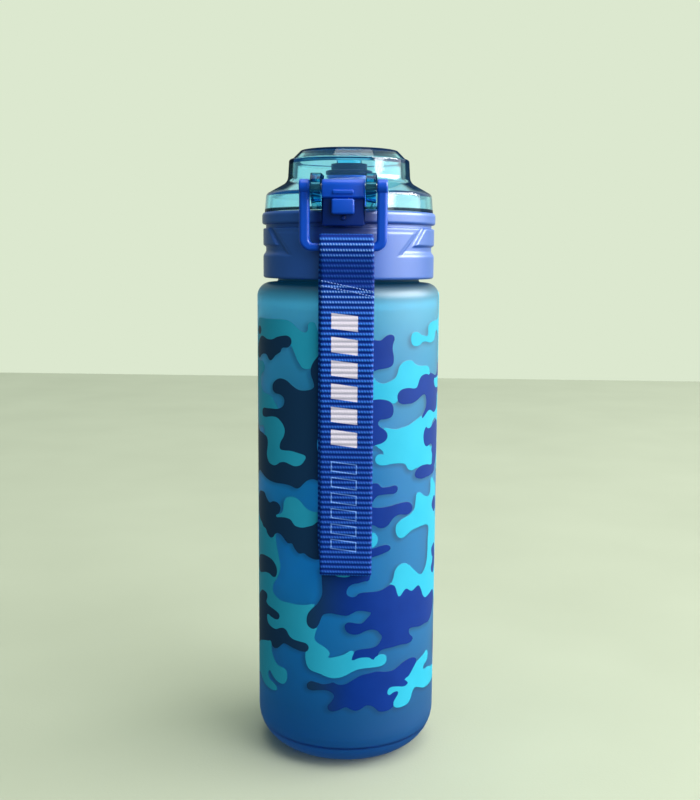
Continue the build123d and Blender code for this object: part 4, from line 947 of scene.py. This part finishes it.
route = strap_route()
run_at = np.concatenate([[0], np.cumsum(np.linalg.norm(np.diff(route, axis=0), axis=1))])
strap_length = run_at[-1]
bm = bmesh.new()
bmesh.ops.create_grid(
    bm, x_segments=24, y_segments=int(strap_length / ROW), size=0.5, calc_uvs=False,
)
uv = bm.loops.layers.uv.new("weave")
for vert in bm.verts:
    vert.co.x, vert.co.y = vert.co.x * STRAP_W, (vert.co.y + 0.5) * strap_length
for face in bm.faces:
    for loop in face.loops:
        loop[uv].uv = (loop.vert.co.x / 100, (loop.vert.co.y + FOOT_Z) / 100)
ribs = bm.verts.layers.deform.verify()
for vert in bm.verts:
    across, along = vert.co.x, vert.co.y
    y, z = np.interp(along, run_at, route[:, 0]), np.interp(along, run_at, route[:, 1])
    behind = ramp(along, strap_length * 0.44, strap_length * 0.54)
    behind *= 1 - ramp(along, strap_length * 0.93, strap_length)
    sewn = 1 - ramp(along, strap_length * 0.46, strap_length * 0.5)
    above_seam = ramp(z - (SEAM_Z + SEAM_LEAN * across), -0.4, 0.4) * sewn
    belly = belly_at(z) * sewn
    flat = 1 - 0.6 * above_seam * (1 - ramp(z, 203, 208))
    selvedge = 1 - 0.5 * ramp(abs(across), STRAP_W / 2 - 0.9, STRAP_W / 2)
    rib = 0.5 + 0.5 * math.cos(2 * math.pi * along / RIB_PITCH)
    vert[ribs][0] = selvedge * (1 - 0.34 * (1 - rib) * flat)
    vert.co = Vector((STRAP_X + across + REAR_SHIFT * behind, y - BELLY_OUT * belly, z)) * MM
at_foot = [vert for vert in bm.verts if vert.co.z < (FOOT_Z + 0.1) * MM]
bmesh.ops.remove_doubles(bm, verts=at_foot, dist=1e-6)
webbing = build("webbing_strap", bm)
webbing.vertex_groups.new(name="ribs")
thick = webbing.modifiers.new("thickness", "SOLIDIFY")
thick.thickness, thick.offset, thick.vertex_group = STRAP_T * MM, 0, "ribs"

finish = Finish("printed_webbing")
on_weave = finish.add("ShaderNodeUVMap", {"uv_map": "weave"})
across, along = (
    finish.add("ShaderNodeSeparateXYZ", inputs={0: on_weave}, output=letter) * 100 for letter in "XY"
)


def wave(amount, pitch):
    """0 to 1 and back once every pitch, 1 where the amount is a whole number of them."""
    return (amount * (2 * math.pi / pitch)).sum("COSINE") * 0.5 + 0.5


KNOT_PITCH, YARN_PITCH = 1.05, 0.35
rib = wave(along, RIB_PITCH)
lean = (along / RIB_PITCH + 0.5).sum("FRACT") - 0.5
row_shift = (along / RIB_PITCH + 0.5).sum("FLOOR").sum("MODULO", 2.0) * 0.5
knots = wave(across + row_shift * KNOT_PITCH + lean * 0.55, KNOT_PITCH)
threads = wave(across - lean * 0.7, YARN_PITCH)
fuzz = finish.noise(5000, 3)
weave = rib * (knots * 0.48 + threads * 0.12 + 0.4)
past_seam = (along - across * SEAM_LEAN - SEAM_Z).rise(-0.5, 0.5)
# Painted light on the weave's crests: brighter up the front from 120 mm and from the fold on, darker above
# the seam.
painted_rib_light = 0.55 + along.rise(120, 182) * 0.55 - past_seam * 0.8 + along.rise(200, 209) * 0.9
yarn = finish.blend(weave.rise(0.12, 0.78) * painted_rib_light, colour(0, 44, 142), colour(52, 128, 238))
yarn = finish.blend((fuzz - 0.5) * 0.4 + 0.06, yarn, colour(14, 84, 206))
# Painted glint: near-white on the knots' crests at the fold's top and just below the seam.
painted_glint = along.rise(203.6, 206.2) * (1 - along.rise(209.6, 211.2)) + (1 - past_seam) * along.rise(182, 190.5)
yarn = finish.blend(weave.rise(0.55, 0.95) * painted_glint * 0.75, yarn, colour(178, 210, 255))
BARS_X0, BARS_X1, BAR_LEAN = -5.8, 4.1, 0.12  # across the strap from its middle
on_front = along.rise(80, 80.1) * (1 - along.rise(196, 196.1))


BAR_COUNT, BAR_SHARE, BAR_LINE, BAR_SOFT = 6, 0.66, 0.42, 0.08


def printed_bars(low, high, line=None):
    """A row of slanting bars up the strap; each fills a share of its pitch, or is a line round it."""
    pitch = (high - low) / BAR_COUNT
    middle_x, half_x = (BARS_X0 + BARS_X1) / 2, (BARS_X1 - BARS_X0) / 2
    level = (along + (across - middle_x) * BAR_LEAN - low) / pitch
    off_middle = ((level.sum("FRACT") - 0.5).sum("ABSOLUTE") - BAR_SHARE / 2) * pitch
    off_side = (across - middle_x).sum("ABSOLUTE") - half_x
    outside = off_middle.sum("MAXIMUM", off_side)
    within = level.rise(0, 0.01) * (1 - level.rise(BAR_COUNT - 0.01, BAR_COUNT))
    filled = 1 - outside.rise(-BAR_SOFT, BAR_SOFT)
    if line:
        filled = filled * outside.rise(-line - BAR_SOFT, -line + BAR_SOFT)
    return within * filled


solid_bars = printed_bars(131.6, 184.2)
outlined_bars = printed_bars(91.4, 127.7, line=BAR_LINE)
ink_hold = (1 - (1 - rib).rise(0.75, 1.0) * 0.22) * on_front
cloth = finish.blend(solid_bars * ink_hold, yarn, colour(255, 242, 255))
cloth = finish.blend(outlined_bars * ink_hold, cloth, colour(124, 172, 252))
relief = finish.bump(weave * (1 - solid_bars * on_front * 0.75) + fuzz * 0.12, 0.00022, 0.9)
wear(webbing, finish.done(finish.plastic(cloth, 0.62, Specular_IOR_Level=0.16, Normal=relief)))
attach(webbing, "strap")
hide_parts("carry_strap")


# ---- Seam thread ----
# Two slanting rows of pale blue polyester thread close the strap's sewn end. Each stitch is a short
# plump loop pulled into the cloth.
STITCHES, STITCH_L, STITCH_W, STITCH_T, ROW_GAP = 17, 0.9, 0.45, 0.5, 1.8
SEAM_EDGE, STITCH_SLANT = 0.7, 14  # from the strap's side, and degrees off the seam
stitch_size = Matrix.Diagonal((STITCH_L, STITCH_T, STITCH_W, 1))
bm = bmesh.new()
for row in range(2):
    for number in range(STITCHES):
        x = (number - (STITCHES - 1) / 2) * (STRAP_W - 2 * SEAM_EDGE) / (STITCHES - 1)
        z = SEAM_Z - row * ROW_GAP + SEAM_LEAN * x
        y = BAR_Y - RUN_R - STRAP_T / 2 - BELLY_OUT * belly_at(z)
        place = Matrix.Translation(Vector((STRAP_X + x, y, z)) * MM)
        slant = Matrix.Rotation(math.radians(SEAM_ANGLE + STITCH_SLANT * (-1) ** row), 4, "Y")
        bmesh.ops.create_uvsphere(
            bm, u_segments=10, v_segments=7, radius=0.5 * MM, matrix=place @ slant @ stitch_size,
        )
thread = build("seam_thread", bm)
finish = Finish("pale_blue_thread")
twist = finish.noise(3000, 2)
tone = finish.blend(twist, colour(104, 150, 236), colour(150, 184, 250))
wear(thread, finish.done(finish.plastic(tone, 0.5, Sheen_Weight=0.3, Normal=finish.bump(twist, 0.00006))))
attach(thread, "strap")
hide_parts("strap_stitches")
